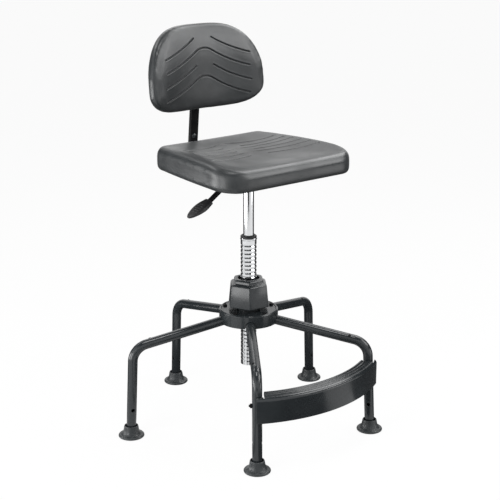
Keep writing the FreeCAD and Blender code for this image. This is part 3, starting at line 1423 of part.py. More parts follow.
def build():
    """All nodes by name."""
    azimuths = {number: leg_azimuth(number) for number in range(1, LEG_COUNT + 1)}
    front = [azimuths[1], azimuths[2]]
    nodes = {
        "hub_tube": ring(HUB_TUBE_R, HUB_BORE_R, HUB_TUBE_BOTTOM, HUB_TUBE_TOP),
        "hub_plate": make_hub_plate(),
        "hub_cover": make_hub_cover(),
        "hub_screws": compound(make_hub_screw(point) for point in hub_screw_points()),
        "guide_bush": make_guide_bush(),
        "collet": make_collet(),
        "lock_collar": make_lock_collar(),
        "leg_rivets": compound(make_rivet(azimuth) for azimuth in azimuths.values()),
        "footrest": make_footrest(),
        "footrest_bolts": compound(make_footrest_bolt(azimuth) for azimuth in front),
        "footrest_nuts": compound(make_footrest_nut(azimuth) for azimuth in front),
        "lift_column": make_column(),
        "column_top_bush": make_top_bush(),
        "column_base_cap": make_base_cap(),
        "thrust_bearing": make_thrust_bearing(),
        "piston_rod": make_piston_rod(),
        "piston_head": make_piston_head(),
        "rod_clip": make_rod_clip(),
        "gas_cylinder": make_gas_cylinder(),
        "cylinder_gland": make_gland(),
        "valve_button": make_valve_button(),
        "seat_plate": make_seat_plate(),
        "seat_screws": compound(make_seat_screw(point) for point in plate_screw_points()),
        "seat_board": make_seat_board(),
        "seat_cushion": make_seat_cushion(),
        "lever_pin": make_lever_pin(),
        "lever_rod": make_lever_rod(),
        "lever_paddle": make_lever_paddle(),
        "back_bar": make_back_bar(),
        "upright": make_upright(),
        "upright_bolts": compound(make_upright_bolt(height) for height in BOLT_HEIGHTS),
        "upright_nuts": compound(make_upright_nut(height) for height in BOLT_HEIGHTS),
        "depth_knob": make_depth_knob(),
        "back_bracket": make_back_bracket(),
        "back_board": make_back_board(),
        "backrest_cushion": make_backrest_cushion(),
        "back_screws": compound(make_back_screw(point) for point in back_screw_points()),
        "height_knob": make_height_knob(),
    }
    for number, azimuth in azimuths.items():
        nodes["leg_%d" % number] = make_leg(azimuth)
        nodes["foot_glide_%d" % number] = make_foot(azimuth)
    return nodes


os.makedirs("parts", exist_ok=True)
for name, shape in build().items():
    shape.exportStep("parts/%s.step" % name)
    print(name, "solids", len(shape.Solids), "valid", shape.isValid(), "volume", round(shape.Volume))
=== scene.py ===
import logging
import math
from collections.abc import Callable
from dataclasses import dataclass, field
from enum import Enum

import bpy
import numpy as np
from mathutils import Matrix, Vector
from mathutils.geometry import convex_hull_2d
from mathutils.kdtree import KDTree


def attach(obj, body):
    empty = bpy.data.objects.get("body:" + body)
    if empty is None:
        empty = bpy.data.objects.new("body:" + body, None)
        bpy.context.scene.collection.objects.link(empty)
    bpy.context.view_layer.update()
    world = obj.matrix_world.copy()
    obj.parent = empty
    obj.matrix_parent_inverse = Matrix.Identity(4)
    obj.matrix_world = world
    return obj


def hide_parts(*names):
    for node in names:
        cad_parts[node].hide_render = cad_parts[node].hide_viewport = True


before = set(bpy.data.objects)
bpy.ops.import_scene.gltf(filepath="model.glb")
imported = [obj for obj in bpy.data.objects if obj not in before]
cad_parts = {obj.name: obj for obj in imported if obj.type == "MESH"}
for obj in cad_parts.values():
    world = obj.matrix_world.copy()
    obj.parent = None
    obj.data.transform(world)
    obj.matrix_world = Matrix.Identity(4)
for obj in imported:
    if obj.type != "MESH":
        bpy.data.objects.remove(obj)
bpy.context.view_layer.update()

LOG = logging.getLogger("swivel_chair")
Point = tuple[float, float, float]
Span = tuple[float, float]
Colour = tuple[float, float, float, float]
Socket = bpy.types.NodeSocket
Value = Socket | Colour | float

WELD = 0.00002
CLOUDY: Span = (0.35, 0.65)
WHOLE: Span = (0.0, 1.0)
WHITE: Colour = (1.0, 1.0, 1.0, 1.0)


class Coat(Enum):
    """Finishes of the chair, each by a short name."""

    PAINT = "dark_paint"
    CHROME = "chrome"
    STEEL = "dark_steel"
    PLASTIC = "black_plastic"
    GLIDE = "grey_nylon"
    FOAM = "foam_skin"
    PLYWOOD = "plywood"


class NodeSheet:
    """The node tree of one material, with short ways to add and join its nodes."""

    edge_samples = 6
    edge_bend: Span = (0.80, 0.985)

    def __init__(self, name: str) -> None:
        """Start a material.

        Args:
            name: Name of the new material.
        """
        self.material = bpy.data.materials.new(name)
        self.material.use_nodes = True
        self.tree = self.material.node_tree
        self.shader = self.tree.nodes["Principled BSDF"]
        self.place = self.tree.nodes.new("ShaderNodeTexCoord").outputs["Object"]

    def join(self, source: Value, target: Socket) -> None:
        """Link a socket to an input, or set the input to a fixed value."""
        if isinstance(source, Socket):
            self.tree.links.new(source, target)
        else:
            target.default_value = source

    def give(self, name: str, source: Value) -> None:
        """Link or set the shader's input of a name."""
        self.join(source, self.shader.inputs[name])

    def noise(self, scale: float, detail: float = 3.0, stretch: Point = (1.0, 1.0, 1.0)) -> Socket:
        """Add cloudy noise.

        Args:
            scale: Waves per metre.
            detail: Number of finer octaves.
            stretch: Factors on the place along each axis.

        Returns:
            The noise value, about 0.3 to 0.7.
        """
        mapping = self.tree.nodes.new("ShaderNodeMapping")
        mapping.inputs["Scale"].default_value = stretch
        self.join(self.place, mapping.inputs["Vector"])
        node = self.tree.nodes.new("ShaderNodeTexNoise")
        node.inputs["Scale"].default_value = scale
        node.inputs["Detail"].default_value = detail
        self.join(mapping.outputs["Vector"], node.inputs["Vector"])
        return node.outputs["Fac"]

    def cells(self, scale: float) -> Socket:
        """Add a pebbled cell pattern.

        Args:
            scale: Cells per metre.

        Returns:
            Distance to the nearest cell's middle.
        """
        node = self.tree.nodes.new("ShaderNodeTexVoronoi")
        node.feature = "SMOOTH_F1"
        node.inputs["Scale"].default_value = scale
        self.join(self.place, node.inputs["Vector"])
        return node.outputs["Distance"]

    def spread(self, source: Socket, span: Span, out: Span) -> Socket:
        """Map a value from one span to another.

        Args:
            source: Value to map.
            span: Lowest and highest value read.
            out: Values given for them.

        Returns:
            The mapped value.
        """
        node = self.tree.nodes.new("ShaderNodeMapRange")
        node.interpolation_type = "SMOOTHSTEP"
        for name, value in zip(("From Min", "From Max", "To Min", "To Max"), span + out):
            node.inputs[name].default_value = value
        self.join(source, node.inputs["Value"])
        return node.outputs["Result"]

    def times(self, first: Socket, second: Socket) -> Socket:
        """Multiply two values and return the product."""
        node = self.tree.nodes.new("ShaderNodeMath")
        node.operation = "MULTIPLY"
        self.join(first, node.inputs[0])
        self.join(second, node.inputs[1])
        return node.outputs[0]

    def tint(self, amount: Socket, first: Value, second: Colour) -> Socket:
        """Mix a colour with a fixed one.

        Args:
            amount: Share of the second colour.
            first: Colour at 0, fixed or from a node.
            second: Colour at 1.

        Returns:
            The mixed colour.
        """
        node = self.tree.nodes.new("ShaderNodeMix")
        node.data_type = "RGBA"
        for index, source in ((0, amount), (6, first), (7, second)):
            self.join(source, node.inputs[index])
        return node.outputs[2]

    def soft_edges(self, radius: float) -> tuple[Socket, Socket]:
        """Round the sharp edges in the shading.

        Args:
            radius: Edge radius in metres.

        Returns:
            The rounded normal, and a mask that is 1 on edges and 0 on plain faces.
        """
        bevel = self.tree.nodes.new("ShaderNodeBevel")
        bevel.samples = self.edge_samples
        bevel.inputs["Radius"].default_value = radius
        geometry = self.tree.nodes.new("ShaderNodeNewGeometry")
        dot = self.tree.nodes.new("ShaderNodeVectorMath")
        dot.operation = "DOT_PRODUCT"
        self.join(bevel.outputs["Normal"], dot.inputs[0])
        self.join(geometry.outputs["True Normal"], dot.inputs[1])
        mask = self.spread(dot.outputs["Value"], self.edge_bend, (1.0, 0.0))
        return bevel.outputs["Normal"], mask

    def bump(self, height: Socket, depth: float, strength: float, under: Socket | None = None) -> Socket:
        """Add a bump.

        Args:
            height: Height value.
            depth: Height of the bump in metres.
            strength: Strength of the bump, 0 to 1.
            under: Normal that the bump starts from.

        Returns:
            The bumped normal.
        """
        node = self.tree.nodes.new("ShaderNodeBump")
        node.inputs["Strength"].default_value = strength
        node.inputs["Distance"].default_value = depth
        self.join(height, node.inputs["Height"])
        if under is not None:
            self.join(under, node.inputs["Normal"])
        return node.outputs["Normal"]


@dataclass(frozen=True)
class WornCoat:
    """A coat with cloudy colour, cloudy gloss and edges that wear paler, in waves per metre.

    Its own values are those of the dark semi-gloss paint.
    """

    name: str = "satin_paint"
    deep: Colour = (0.0105, 0.0128, 0.0145, 1.0)
    light: Colour = (0.0165, 0.0195, 0.0215, 1.0)
    worn: Colour = (0.060, 0.064, 0.067, 1.0)
    rough: Span = (0.15, 0.23)
    specular: float = 0.5
    edge_r: float = 0.0016
    cloud_scale: float = 7.0
    gloss_scale: float = 22.0
    wear_scale: float = 60.0
    wear_span: Span = (0.42, 0.62)
    wear_most: float = 0.35

    def grain(self, sheet: NodeSheet, normal: Socket) -> Socket:
        """Return the normal with the surface's grain, which the paint lacks."""
        return normal

    def material(self) -> bpy.types.Material:
        """Build the material and return it."""
        sheet = NodeSheet(self.name)
        edge_normal, edge = sheet.soft_edges(self.edge_r)
        clouds = sheet.spread(sheet.noise(self.cloud_scale, 4.0), CLOUDY, WHOLE)
        wear = sheet.spread(sheet.noise(self.wear_scale, 4.0), self.wear_span, (0.0, self.wear_most))
        colour = sheet.tint(sheet.times(edge, wear), sheet.tint(clouds, self.deep, self.light), self.worn)
        sheet.give("Base Color", colour)
        sheet.give("Roughness", sheet.spread(sheet.noise(self.gloss_scale, 5.0), CLOUDY, self.rough))
        sheet.give("Specular IOR Level", self.specular)
        sheet.give("Normal", self.grain(sheet, edge_normal))
        return sheet.material


@dataclass(frozen=True)
class BlackSteel(WornCoat):
    """Blackened steel of the bar, the upright and the small hardware, with a fine rolled grain."""

    name: str = "black_steel"
    deep: Colour = (0.0045, 0.0045, 0.0050, 1.0)
    light: Colour = (0.0080, 0.0080, 0.0085, 1.0)
    worn: Colour = (0.04, 0.04, 0.041, 1.0)
    rough: Span = (0.50, 0.64)
    specular: float = 0.08
    edge_r: float = 0.0008
    cloud_scale: float = 30.0
    gloss_scale: float = 45.0
    wear_scale: float = 90.0
    wear_most: float = 0.7
    grain_scale: float = 1400.0
    grain_depth: float = 0.0001
    grain_strength: float = 0.15

    def grain(self, sheet: NodeSheet, normal: Socket) -> Socket:
        """Add the rolled grain to the normal and return it."""
        return sheet.bump(sheet.noise(self.grain_scale, 2.0), self.grain_depth, self.grain_strength, normal)


@dataclass(frozen=True)
class MouldedPlastic(WornCoat):
    """Black nylon with a fine spark-eroded grain."""

    name: str = "moulded_nylon"
    deep: Colour = (0.010, 0.010, 0.011, 1.0)
    light: Colour = (0.019, 0.019, 0.020, 1.0)
    worn: Colour = (0.060, 0.060, 0.061, 1.0)
    rough: Span = (0.38, 0.54)
    specular: float = 0.4
    edge_r: float = 0.0012
    cloud_scale: float = 18.0
    gloss_scale: float = 30.0
    wear_scale: float = 80.0
    wear_span: Span = (0.45, 0.65)
    wear_most: float = 0.6
    grain_scale: float = 1500.0
    grain_depth: float = 0.00015
    grain_strength: float = 0.25

    def grain(self, sheet: NodeSheet, normal: Socket) -> Socket:
        """Add the eroded grain to the normal and return it."""
        return sheet.bump(sheet.cells(self.grain_scale), self.grain_depth, self.grain_strength, normal)


@dataclass(frozen=True)
class GreyNylon(MouldedPlastic):
    """Dark grey nylon of the foot glides, polished a little by wear."""

    name: str = "grey_nylon"
    deep: Colour = (0.018, 0.0205, 0.022, 1.0)
    light: Colour = (0.028, 0.0315, 0.0335, 1.0)
    worn: Colour = (0.070, 0.073, 0.075, 1.0)
    rough: Span = (0.30, 0.42)


@dataclass(frozen=True)
class Chrome:
    """Bright plating, with darker vertical streaks painted into its colour as a painted reflection of dark
    surroundings.
    """

    name: str = "bright_chrome"
    plate_colour: Colour = (0.72, 0.73, 0.74, 1.0)
    # Darker colour of the vertical streaks: a painted reflection of dark surroundings.
    reflection_colour: Colour = (0.50, 0.51, 0.52, 1.0)
    reflection_scale: float = 26.0
    reflection_stretch: Point = (1.0, 1.0, 0.12)
    reflection_span: Span = (0.45, 0.70)
    reflection_most: float = 0.55
    gloss_scale: float = 40.0
    gloss_span: Span = (0.35, 0.70)
    rough: Span = (0.05, 0.12)

    def material(self) -> bpy.types.Material:
        """Build the material and return it."""
        sheet = NodeSheet(self.name)
        # Noise stretched upright gives the vertical streaks of painted reflection that darken the plating's
        # colour.
        reflection_noise = sheet.noise(self.reflection_scale, 5.0, self.reflection_stretch)
        reflection_share = sheet.spread(reflection_noise, self.reflection_span, (0.0, self.reflection_most))
        sheet.give("Base Color", sheet.tint(reflection_share, self.plate_colour, self.reflection_colour))
        gloss = sheet.spread(sheet.noise(self.gloss_scale, 4.0), self.gloss_span, self.rough)
        sheet.give("Roughness", gloss)
        sheet.give("Metallic", 1.0)
        return sheet.material


@dataclass(frozen=True)
class FoamSkin:
    """Self-skinned foam: a smooth satin skin with a faint pebble, cloudy gloss and a dusty bloom."""

    name: str = "foam_skin"
    deep: Colour = (0.0082, 0.0098, 0.0108, 1.0)
    light: Colour = (0.0135, 0.0158, 0.0172, 1.0)
    bloom: Colour = (0.030, 0.033, 0.035, 1.0)
    rough: Span = (0.34, 0.42)
    specular: float = 0.6
    sheen: float = 0.04
    sheen_rough: float = 0.5
    cloud_scale: float = 9.0
    cloud_span: Span = (0.32, 0.68)
    bloom_scale: float = 26.0
    bloom_span: Span = (0.52, 0.74)
    bloom_most: float = 0.35
    gloss_scale: float = 14.0
    pebble_scale: float = 620.0
    pebble_depth: float = 0.0002
    pebble_strength: float = 0.16
    wave_scale: float = 55.0
    wave_depth: float = 0.0006
    wave_strength: float = 0.10

    def material(self) -> bpy.types.Material:
        """Build the material and return it."""
        sheet = NodeSheet(self.name)
        clouds = sheet.spread(sheet.noise(self.cloud_scale, 5.0), self.cloud_span, WHOLE)
        dust = sheet.spread(sheet.noise(self.bloom_scale, 6.0), self.bloom_span, (0.0, self.bloom_most))
        colour = sheet.tint(dust, sheet.tint(clouds, self.deep, self.light), self.bloom)
        sheet.give("Base Color", colour)
        sheet.give("Roughness", sheet.spread(sheet.noise(self.gloss_scale, 5.0), CLOUDY, self.rough))
        sheet.give("Specular IOR Level", self.specular)
        sheet.give("Sheen Weight", self.sheen)
        sheet.give("Sheen Roughness", self.sheen_rough)
        pebbled = sheet.bump(sheet.cells(self.pebble_scale), self.pebble_depth, self.pebble_strength)
        waved = sheet.bump(sheet.noise(self.wave_scale, 3.0), self.wave_depth, self.wave_strength, pebbled)
        sheet.give("Normal", waved)
        return sheet.material


@dataclass(frozen=True)
class Plywood:
    """Plywood of the two boards under a black stain: long grain with paler and darker rings."""

    name: str = "stained_plywood"
    pale: Colour = (0.024, 0.021, 0.019, 1.0)
    dark: Colour = (0.012, 0.011, 0.010, 1.0)
    rough: float = 0.6
    grain_scale: float = 60.0
    grain_stretch: Point = (1.0, 0.08, 1.0)
    grain_depth: float = 0.0002
    grain_strength: float = 0.3

    def material(self) -> bpy.types.Material:
        """Build the material and return it."""
        sheet = NodeSheet(self.name)
        grain = sheet.noise(self.grain_scale, 6.0, self.grain_stretch)
        rings = sheet.spread(grain, CLOUDY, WHOLE)
        sheet.give("Base Color", sheet.tint(rings, self.pale, self.dark))
        sheet.give("Roughness", self.rough)
        sheet.give("Normal", sheet.bump(grain, self.grain_depth, self.grain_strength))
        return sheet.material


class Paintbox:
    """Keeps one material for each finish and puts it on pieces."""

    def __init__(self) -> None:
        """Build every finish once."""
        finishes = {
            Coat.PAINT: WornCoat(),
            Coat.CHROME: Chrome(),
            Coat.STEEL: BlackSteel(),
            Coat.PLASTIC: MouldedPlastic(),
            Coat.GLIDE: GreyNylon(),
            Coat.FOAM: FoamSkin(),
            Coat.PLYWOOD: Plywood(),
        }
        self.materials = {coat: finish.material() for coat, finish in finishes.items()}

    def dress(self, piece: bpy.types.Object, coat: Coat) -> None:
        """Give a piece one finish all over.

        Args:
            piece: Piece to dress.
            coat: Finish that it takes.
        """
        piece.data.materials.clear()
        piece.data.materials.append(self.materials[coat])

    def dress_nodes(self, nodes: dict[str, Coat]) -> None:
        """Give carried-over CAD nodes one finish each, in all their material slots.

        Args:
            nodes: Finish of each node, by its name.
        """
        for node, coat in nodes.items():
            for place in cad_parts[node].material_slots:
                place.material = self.materials[coat]


def deselect() -> None:
    """Leave edit mode and deselect every object."""
    if bpy.context.object is not None and bpy.context.object.mode != "OBJECT":
        bpy.ops.object.mode_set(mode="OBJECT")
    bpy.ops.object.select_all(action="DESELECT")


def make_active(piece: bpy.types.Object) -> None:
    """Select one piece alone and make it active."""
    deselect()
    piece.select_set(True)
    bpy.context.view_layer.objects.active = piece


def apply_modifier(piece: bpy.types.Object, kind: str, **settings: object) -> None:
    """Add a modifier to a piece and apply it.

    Args:
        piece: Piece to change.
        kind: Blender's name of the modifier type.
        settings: Values set on the modifier.
    """
    make_active(piece)
    modifier = piece.modifiers.new(kind.lower(), kind)
    for name, value in settings.items():
        setattr(modifier, name, value)
    bpy.ops.object.modifier_apply(modifier=modifier.name)


def edit_faces(piece: bpy.types.Object, wanted: Callable[[bpy.types.MeshPolygon], bool]) -> None:
    """Select some faces of a piece and go into edit mode.

    Args:
        piece: Piece to edit.
        wanted: Tells whether a face is selected.
    """
    make_active(piece)
    bpy.ops.object.mode_set(mode="EDIT")
    bpy.ops.mesh.select_mode(type="FACE")
    bpy.ops.mesh.select_all(action="DESELECT")
    bpy.ops.object.mode_set(mode="OBJECT")
    for face in piece.data.polygons:
        face.select = wanted(face)
    bpy.ops.object.mode_set(mode="EDIT")


def mesh_points(mesh: bpy.types.Mesh) -> np.ndarray:
    """Return a mesh's points as rows of x, y and z."""
    flat = np.empty(len(mesh.vertices) * 3)
    mesh.vertices.foreach_get("co", flat)
    return flat.reshape(-1, 3)


def set_points(mesh: bpy.types.Mesh, points: np.ndarray) -> None:
    """Write rows of x, y and z back to a mesh."""
    mesh.vertices.foreach_set("co", points.ravel())
    mesh.update()


def smooth_share(values: np.ndarray, low: float, high: float) -> np.ndarray:
    """Return smooth shares from 0 at the low value to 1 at the high one."""
    share = np.clip((values - low) / (high - low), 0.0, 1.0)
    return share * share * (3.0 - 2.0 * share)


def spin_profile(name: str, profile: list[Span], steps: int) -> bpy.types.Object:
    """Model a turned piece: a line is drawn point by point, then spun about the vertical axis.

    Args:
        name: Name of the new piece.
        profile: Radius and height of each point, in metres.
        steps: Steps of a whole turn.

    Returns:
        The turned piece, with its axis through the origin.
    """
    deselect()
    radius, height = profile[0]
    bpy.ops.mesh.primitive_plane_add(size=0.001, location=(radius, 0.0, height))
    piece = bpy.context.object
    piece.name = name
    bpy.ops.object.transform_apply(location=True, rotation=True, scale=True)
    bpy.ops.object.mode_set(mode="EDIT")
    bpy.ops.mesh.select_mode(type="VERT")
    bpy.ops.mesh.select_all(action="SELECT")
    bpy.ops.mesh.merge(type="CENTER")
    for (start_r, start_z), (end_r, end_z) in zip(profile, profile[1:]):
        move = (end_r - start_r, 0.0, end_z - start_z)
        bpy.ops.mesh.extrude_region_move(TRANSFORM_OT_translate={"value": move})
    bpy.ops.mesh.select_all(action="SELECT")
    bpy.ops.mesh.spin(steps=steps, angle=2 * math.pi, center=(0.0, 0.0, 0.0), axis=(0.0, 0.0, 1.0))
    bpy.ops.mesh.select_all(action="SELECT")
    bpy.ops.mesh.remove_doubles(threshold=WELD)
    bpy.ops.mesh.normals_make_consistent(inside=False)
    bpy.ops.object.mode_set(mode="OBJECT")
    return piece


@dataclass(frozen=True)
class Chevrons:
    """Plan of the moulded channels: rounded chevrons in turn with pairs of open arms, in metres."""

    peaks: tuple[float, ...]
    arms: tuple[float, ...]
    reaches: tuple[float, ...]
    arm_start: float
    peak_r: float
    steep: float
    flat: float
    step: float = 0.0007

    def arm(self, start: Span, reach: float, side: int) -> list[Span]:
        """Sample one arm.

        Args:
            start: Inner end on the right-hand side.
            reach: Run of the arm across the pad.
            side: -1 for the left arm and 1 for the right one.

        Returns:
            Points from the inner to the outer end.
        """
        steep, flat = math.radians(self.steep), math.radians(self.flat)
        radius = reach / (math.sin(steep) - math.sin(flat))
        across, along = start[0] + radius * math.sin(steep), start[1] + radius * math.cos(steep)
        angles = np.linspace(steep, flat, int(reach / self.step))
        return [(side * (across - radius * math.sin(a)), along - radius * math.cos(a)) for a in angles]

    def points(self) -> list[Span]:
        """Return points along the middle of every channel."""
        found: list[Span] = []
        steep = math.radians(self.steep)
        for peak, arm, reach in zip(self.peaks, self.arms, self.reaches):
            turn = np.linspace(-steep, steep, max(4, int(2 * steep * self.peak_r / self.step)))
            found += [(self.peak_r * math.sin(a), peak - self.peak_r * (1 - math.cos(a))) for a in turn]
            root = (self.peak_r * math.sin(steep), peak - self.peak_r * (1 - math.cos(steep)))
            for side in (-1, 1):
                found += self.arm(root, reach, side)
                found += self.arm((self.arm_start, arm), reach, side)
        return found


@dataclass(frozen=True)
class Room:
    """Space in a pad's rear recess for the upright's end at the lowest setting, in metres."""

    half_width: float
    rear_from: float
    low: float
    high: float
    ease: float = 0.008
    slack: float = 0.15


@dataclass
class MouldedPad:
    """A moulded foam cushion that stands for one CAD cushion.

    The pad starts from the node's own form with its channels filled, is remeshed to an even skin, and gets
    the channels pressed back in with soft shoulders. Sizes are in metres.
    """

    name: str
    node: str
    body: str
    chevrons: Chevrons
    to_plan: Matrix
    fill: float = 0.9
    voxel: float = 0.005
    smoothing: float = 0.5
    smooth_rounds: int = 9
    faces_out: float = 0.5
    faces_flat: float = 0.6
    facing_span: Span = (0.15, 0.6)
    fine_reach: float = 0.0055
    fine_cuts: int = 3
    cut_half: float = 0.00175
    cut_depth: float = 0.0022
    groove_half: float = 0.0023
    groove_depth: float = 0.0034
    groove_power: float = 0.6
    lip: float = 0.0002
    lip_reach: float = 3.0
    swell: float = 0.0013
    even_from: float = 0.016
    even_to: float = 0.036
    even_order: int = 8
    even_unit: float = 0.2
    trace_half: float = 0.006
    well: float = 0.0
    well_from: float = 0.016
    well_to: float = 0.080
    crown: float = 0.0
    crown_low: float = -0.111
    crown_high: float = 0.111
    crown_peak: float = 0.0
    crown_ramp: float = 0.035
    crown_heights: Span | None = None
    room: Room | None = None

    def plan_of(self, points: np.ndarray) -> np.ndarray:
        """Turn points of the chair's frame into the pad's plan: across, along and outwards."""
        matrix = np.array(self.to_plan)
        return points @ matrix[:3, :3].T + matrix[:3, 3]

    def outwards(self) -> np.ndarray:
        """Return the direction that the pad's face looks in, in the chair's frame."""
        return np.array(self.to_plan)[2, :3]

    def tree(self) -> KDTree:
        """Return a search tree of the channels' middle lines."""
        lines = self.chevrons.points()
        tree = KDTree(len(lines))
        for index, (across, along) in enumerate(lines):
            tree.insert((across, along, 0.0), index)
        tree.balance()
        return tree

    @staticmethod
    def apart(tree: KDTree, spot: np.ndarray) -> float:
        """Return a plan point's distance from the nearest channel's middle."""
        return tree.find((spot[0], spot[1], 0.0))[2]

    def fill_channels(self, mesh: bpy.types.Mesh, tree: KDTree) -> None:
        """Lift the floors of the node's channels back to its face.

        Args:
            mesh: Copy of the node's mesh, with loose faces.
            tree: Search tree of the channels.
        """
        points = mesh_points(mesh)
        plan = self.plan_of(points)
        away = self.outwards()
        lifted: set[int] = set()
        for face in mesh.polygons:
            if np.dot(face.normal, away) < self.faces_out:
                continue
            if all(self.apart(tree, plan[i]) < self.cut_half for i in face.vertices):
                lifted.update(face.vertices)
        for index in lifted:
            points[index] += away * self.cut_depth
        set_points(mesh, points)

    def refine(self, piece: bpy.types.Object, tree: KDTree) -> None:
        """Divide the faces beside the channels.

        Args:
            piece: Pad to refine.
            tree: Search tree of the channels.
        """
        away = self.outwards()

        def beside(face: bpy.types.MeshPolygon) -> bool:
            """Tell whether a face lies on the pad's face and close to a channel."""
            if np.dot(face.normal, away) < self.faces_flat:
                return False
            return self.apart(tree, self.plan_of(np.array([face.center]))[0]) < self.fine_reach

        edit_faces(piece, beside)
        bpy.ops.mesh.subdivide(number_cuts=self.fine_cuts, smoothness=0.0)
        bpy.ops.object.mode_set(mode="OBJECT")

    def insets(self, plan: np.ndarray) -> np.ndarray:
        """Return each plan point's distance from the pad's outline."""
        flat = [Vector((point[0], point[1])) for point in plan]
        outline = plan[convex_hull_2d(flat)][:, :2]
        runs = np.roll(outline, -1, axis=0) - outline
        nearest = np.full(len(plan), np.inf)
        for corner, run in zip(outline, runs):
            apart = plan[:, :2] - corner
            share = np.clip(apart @ run / max(run @ run, 1e-12), 0.0, 1.0)
            nearest = np.minimum(nearest, np.linalg.norm(apart - share[:, None] * run, axis=1))
        return nearest

    def shape_face(self, mesh: bpy.types.Mesh) -> None:
        """Swell the skin a little, sink the face inside its rim and crown it along its length.

        Args:
            mesh: Even mesh of the pad.
        """
        points = mesh_points(mesh)
        plan = self.plan_of(points)
        away = self.outwards()
        normals = np.array([vertex.normal for vertex in mesh.vertices])
        inset = self.insets(plan)
        facing = smooth_share(normals @ away, *self.facing_span)
        along = plan[:, 1] - self.crown_peak
        reach = np.where(along > 0, self.crown_high - self.crown_peak, self.crown_low - self.crown_peak)
        bulge = self.crown * np.maximum(0.0, 1.0 - (along / reach) ** 2)
        if self.crown_heights is None:
            weight = facing * smooth_share(inset, 0.0, self.crown_ramp)
        else:
            weight = smooth_share(plan[:, 2], *self.crown_heights)
        drop = self.well * facing * smooth_share(inset, self.well_from, self.well_to)
        moves = normals * self.swell + np.outer(bulge * weight - drop, away)
        set_points(mesh, points + moves)

    def even_face(self, mesh: bpy.types.Mesh, tree: KDTree) -> None:
        """Even out the face inside its rim to one smooth sweep, as a mould gives it.

        Args:
            mesh: Refined mesh of the pad.
            tree: Search tree of the channels, whose filled traces are left out of the sweep.
        """
        points = mesh_points(mesh)
        plan = self.plan_of(points)
        away = self.outwards()
        normals = np.array([vertex.normal for vertex in mesh.vertices])
        inset = self.insets(plan)
        face = (normals @ away > self.faces_flat) & (inset > self.even_from)
        clear = np.array([self.apart(tree, spot) > self.trace_half for spot in plan])
        across, along = plan[:, 0] / self.even_unit, plan[:, 1] / self.even_unit
        terms = np.stack([across ** i * along ** j for i in range(self.even_order + 1)
                          for j in range(self.even_order + 1 - i)], axis=1)
        known = face & clear
        factors = np.linalg.lstsq(terms[known], plan[known, 2], rcond=None)[0]
        weight = smooth_share(inset, self.even_from, self.even_to) * face
        set_points(mesh, points + np.outer((terms @ factors - plan[:, 2]) * weight, away))

    def press_channels(self, mesh: bpy.types.Mesh, tree: KDTree) -> None:
        """Press the channels into the skin, with soft shoulders and a faint lip beside them.

        Args:
            mesh: Refined mesh of the pad.
            tree: Search tree of the channels.
        """
        points = mesh_points(mesh)
        plan = self.plan_of(points)
        away = self.outwards()
        for vertex in mesh.vertices:
            if np.dot(vertex.normal, away) < self.faces_out:
                continue
            distance = self.apart(tree, plan[vertex.index])
            if distance < self.groove_half:
                share = 0.5 + 0.5 * math.cos(math.pi * distance / self.groove_half)
                points[vertex.index] -= away * (self.groove_depth * share ** self.groove_power)
            elif distance < self.lip_reach * self.groove_half:
                share = 0.5 - 0.5 * math.cos(math.pi * (distance / self.groove_half - 1))
                points[vertex.index] += away * (self.lip * share)
        set_points(mesh, points)

    def leave_room(self, mesh: bpy.types.Mesh) -> None:
        """Lift the top of the rear recess clear of the upright's end at the lowest setting.

        Args:
            mesh: Finished mesh of the pad.
        """
        room = self.room
        if room is None:
            return
        points = mesh_points(mesh)
        heights = points[:, 2]
        beside = smooth_share(room.half_width + room.ease - np.abs(points[:, 0]), 0.0, room.ease)
        inside = (points[:, 1] > room.rear_from) & (heights > room.low) & (heights < room.high)
        lift = (room.high - heights) * (1.0 - room.slack) * beside
        points[:, 2] += np.where(inside, lift, 0.0)
        set_points(mesh, points)

    def build(self, paints: Paintbox) -> None:
        """Model and dress the pad.

        Args:
            paints: Finishes of the chair.
        """
        tree = self.tree()
        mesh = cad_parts[self.node].data.copy()
        mesh.name = self.name
        pad = bpy.data.objects.new(self.name, mesh)
        bpy.context.scene.collection.objects.link(pad)
        self.fill_channels(mesh, tree)
        make_active(pad)
        bpy.ops.object.mode_set(mode="EDIT")
        bpy.ops.mesh.select_all(action="SELECT")
        bpy.ops.mesh.remove_doubles(threshold=WELD)
        bpy.ops.object.mode_set(mode="OBJECT")
        pad.data.remesh_voxel_size = self.voxel
        bpy.ops.object.voxel_remesh()
        apply_modifier(pad, "SMOOTH", factor=self.smoothing, iterations=self.smooth_rounds)
        self.shape_face(pad.data)
        apply_modifier(pad, "SUBSURF", levels=1, render_levels=1)
        self.refine(pad, tree)
        self.even_face(pad.data, tree)
        self.press_channels(pad.data, tree)
        self.leave_room(pad.data)
        make_active(pad)
        bpy.ops.object.shade_smooth()
        paints.dress(pad, Coat.FOAM)
        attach(pad, self.body)
        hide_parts(self.node)
        LOG.info("%s: %d faces", self.name, len(pad.data.polygons))


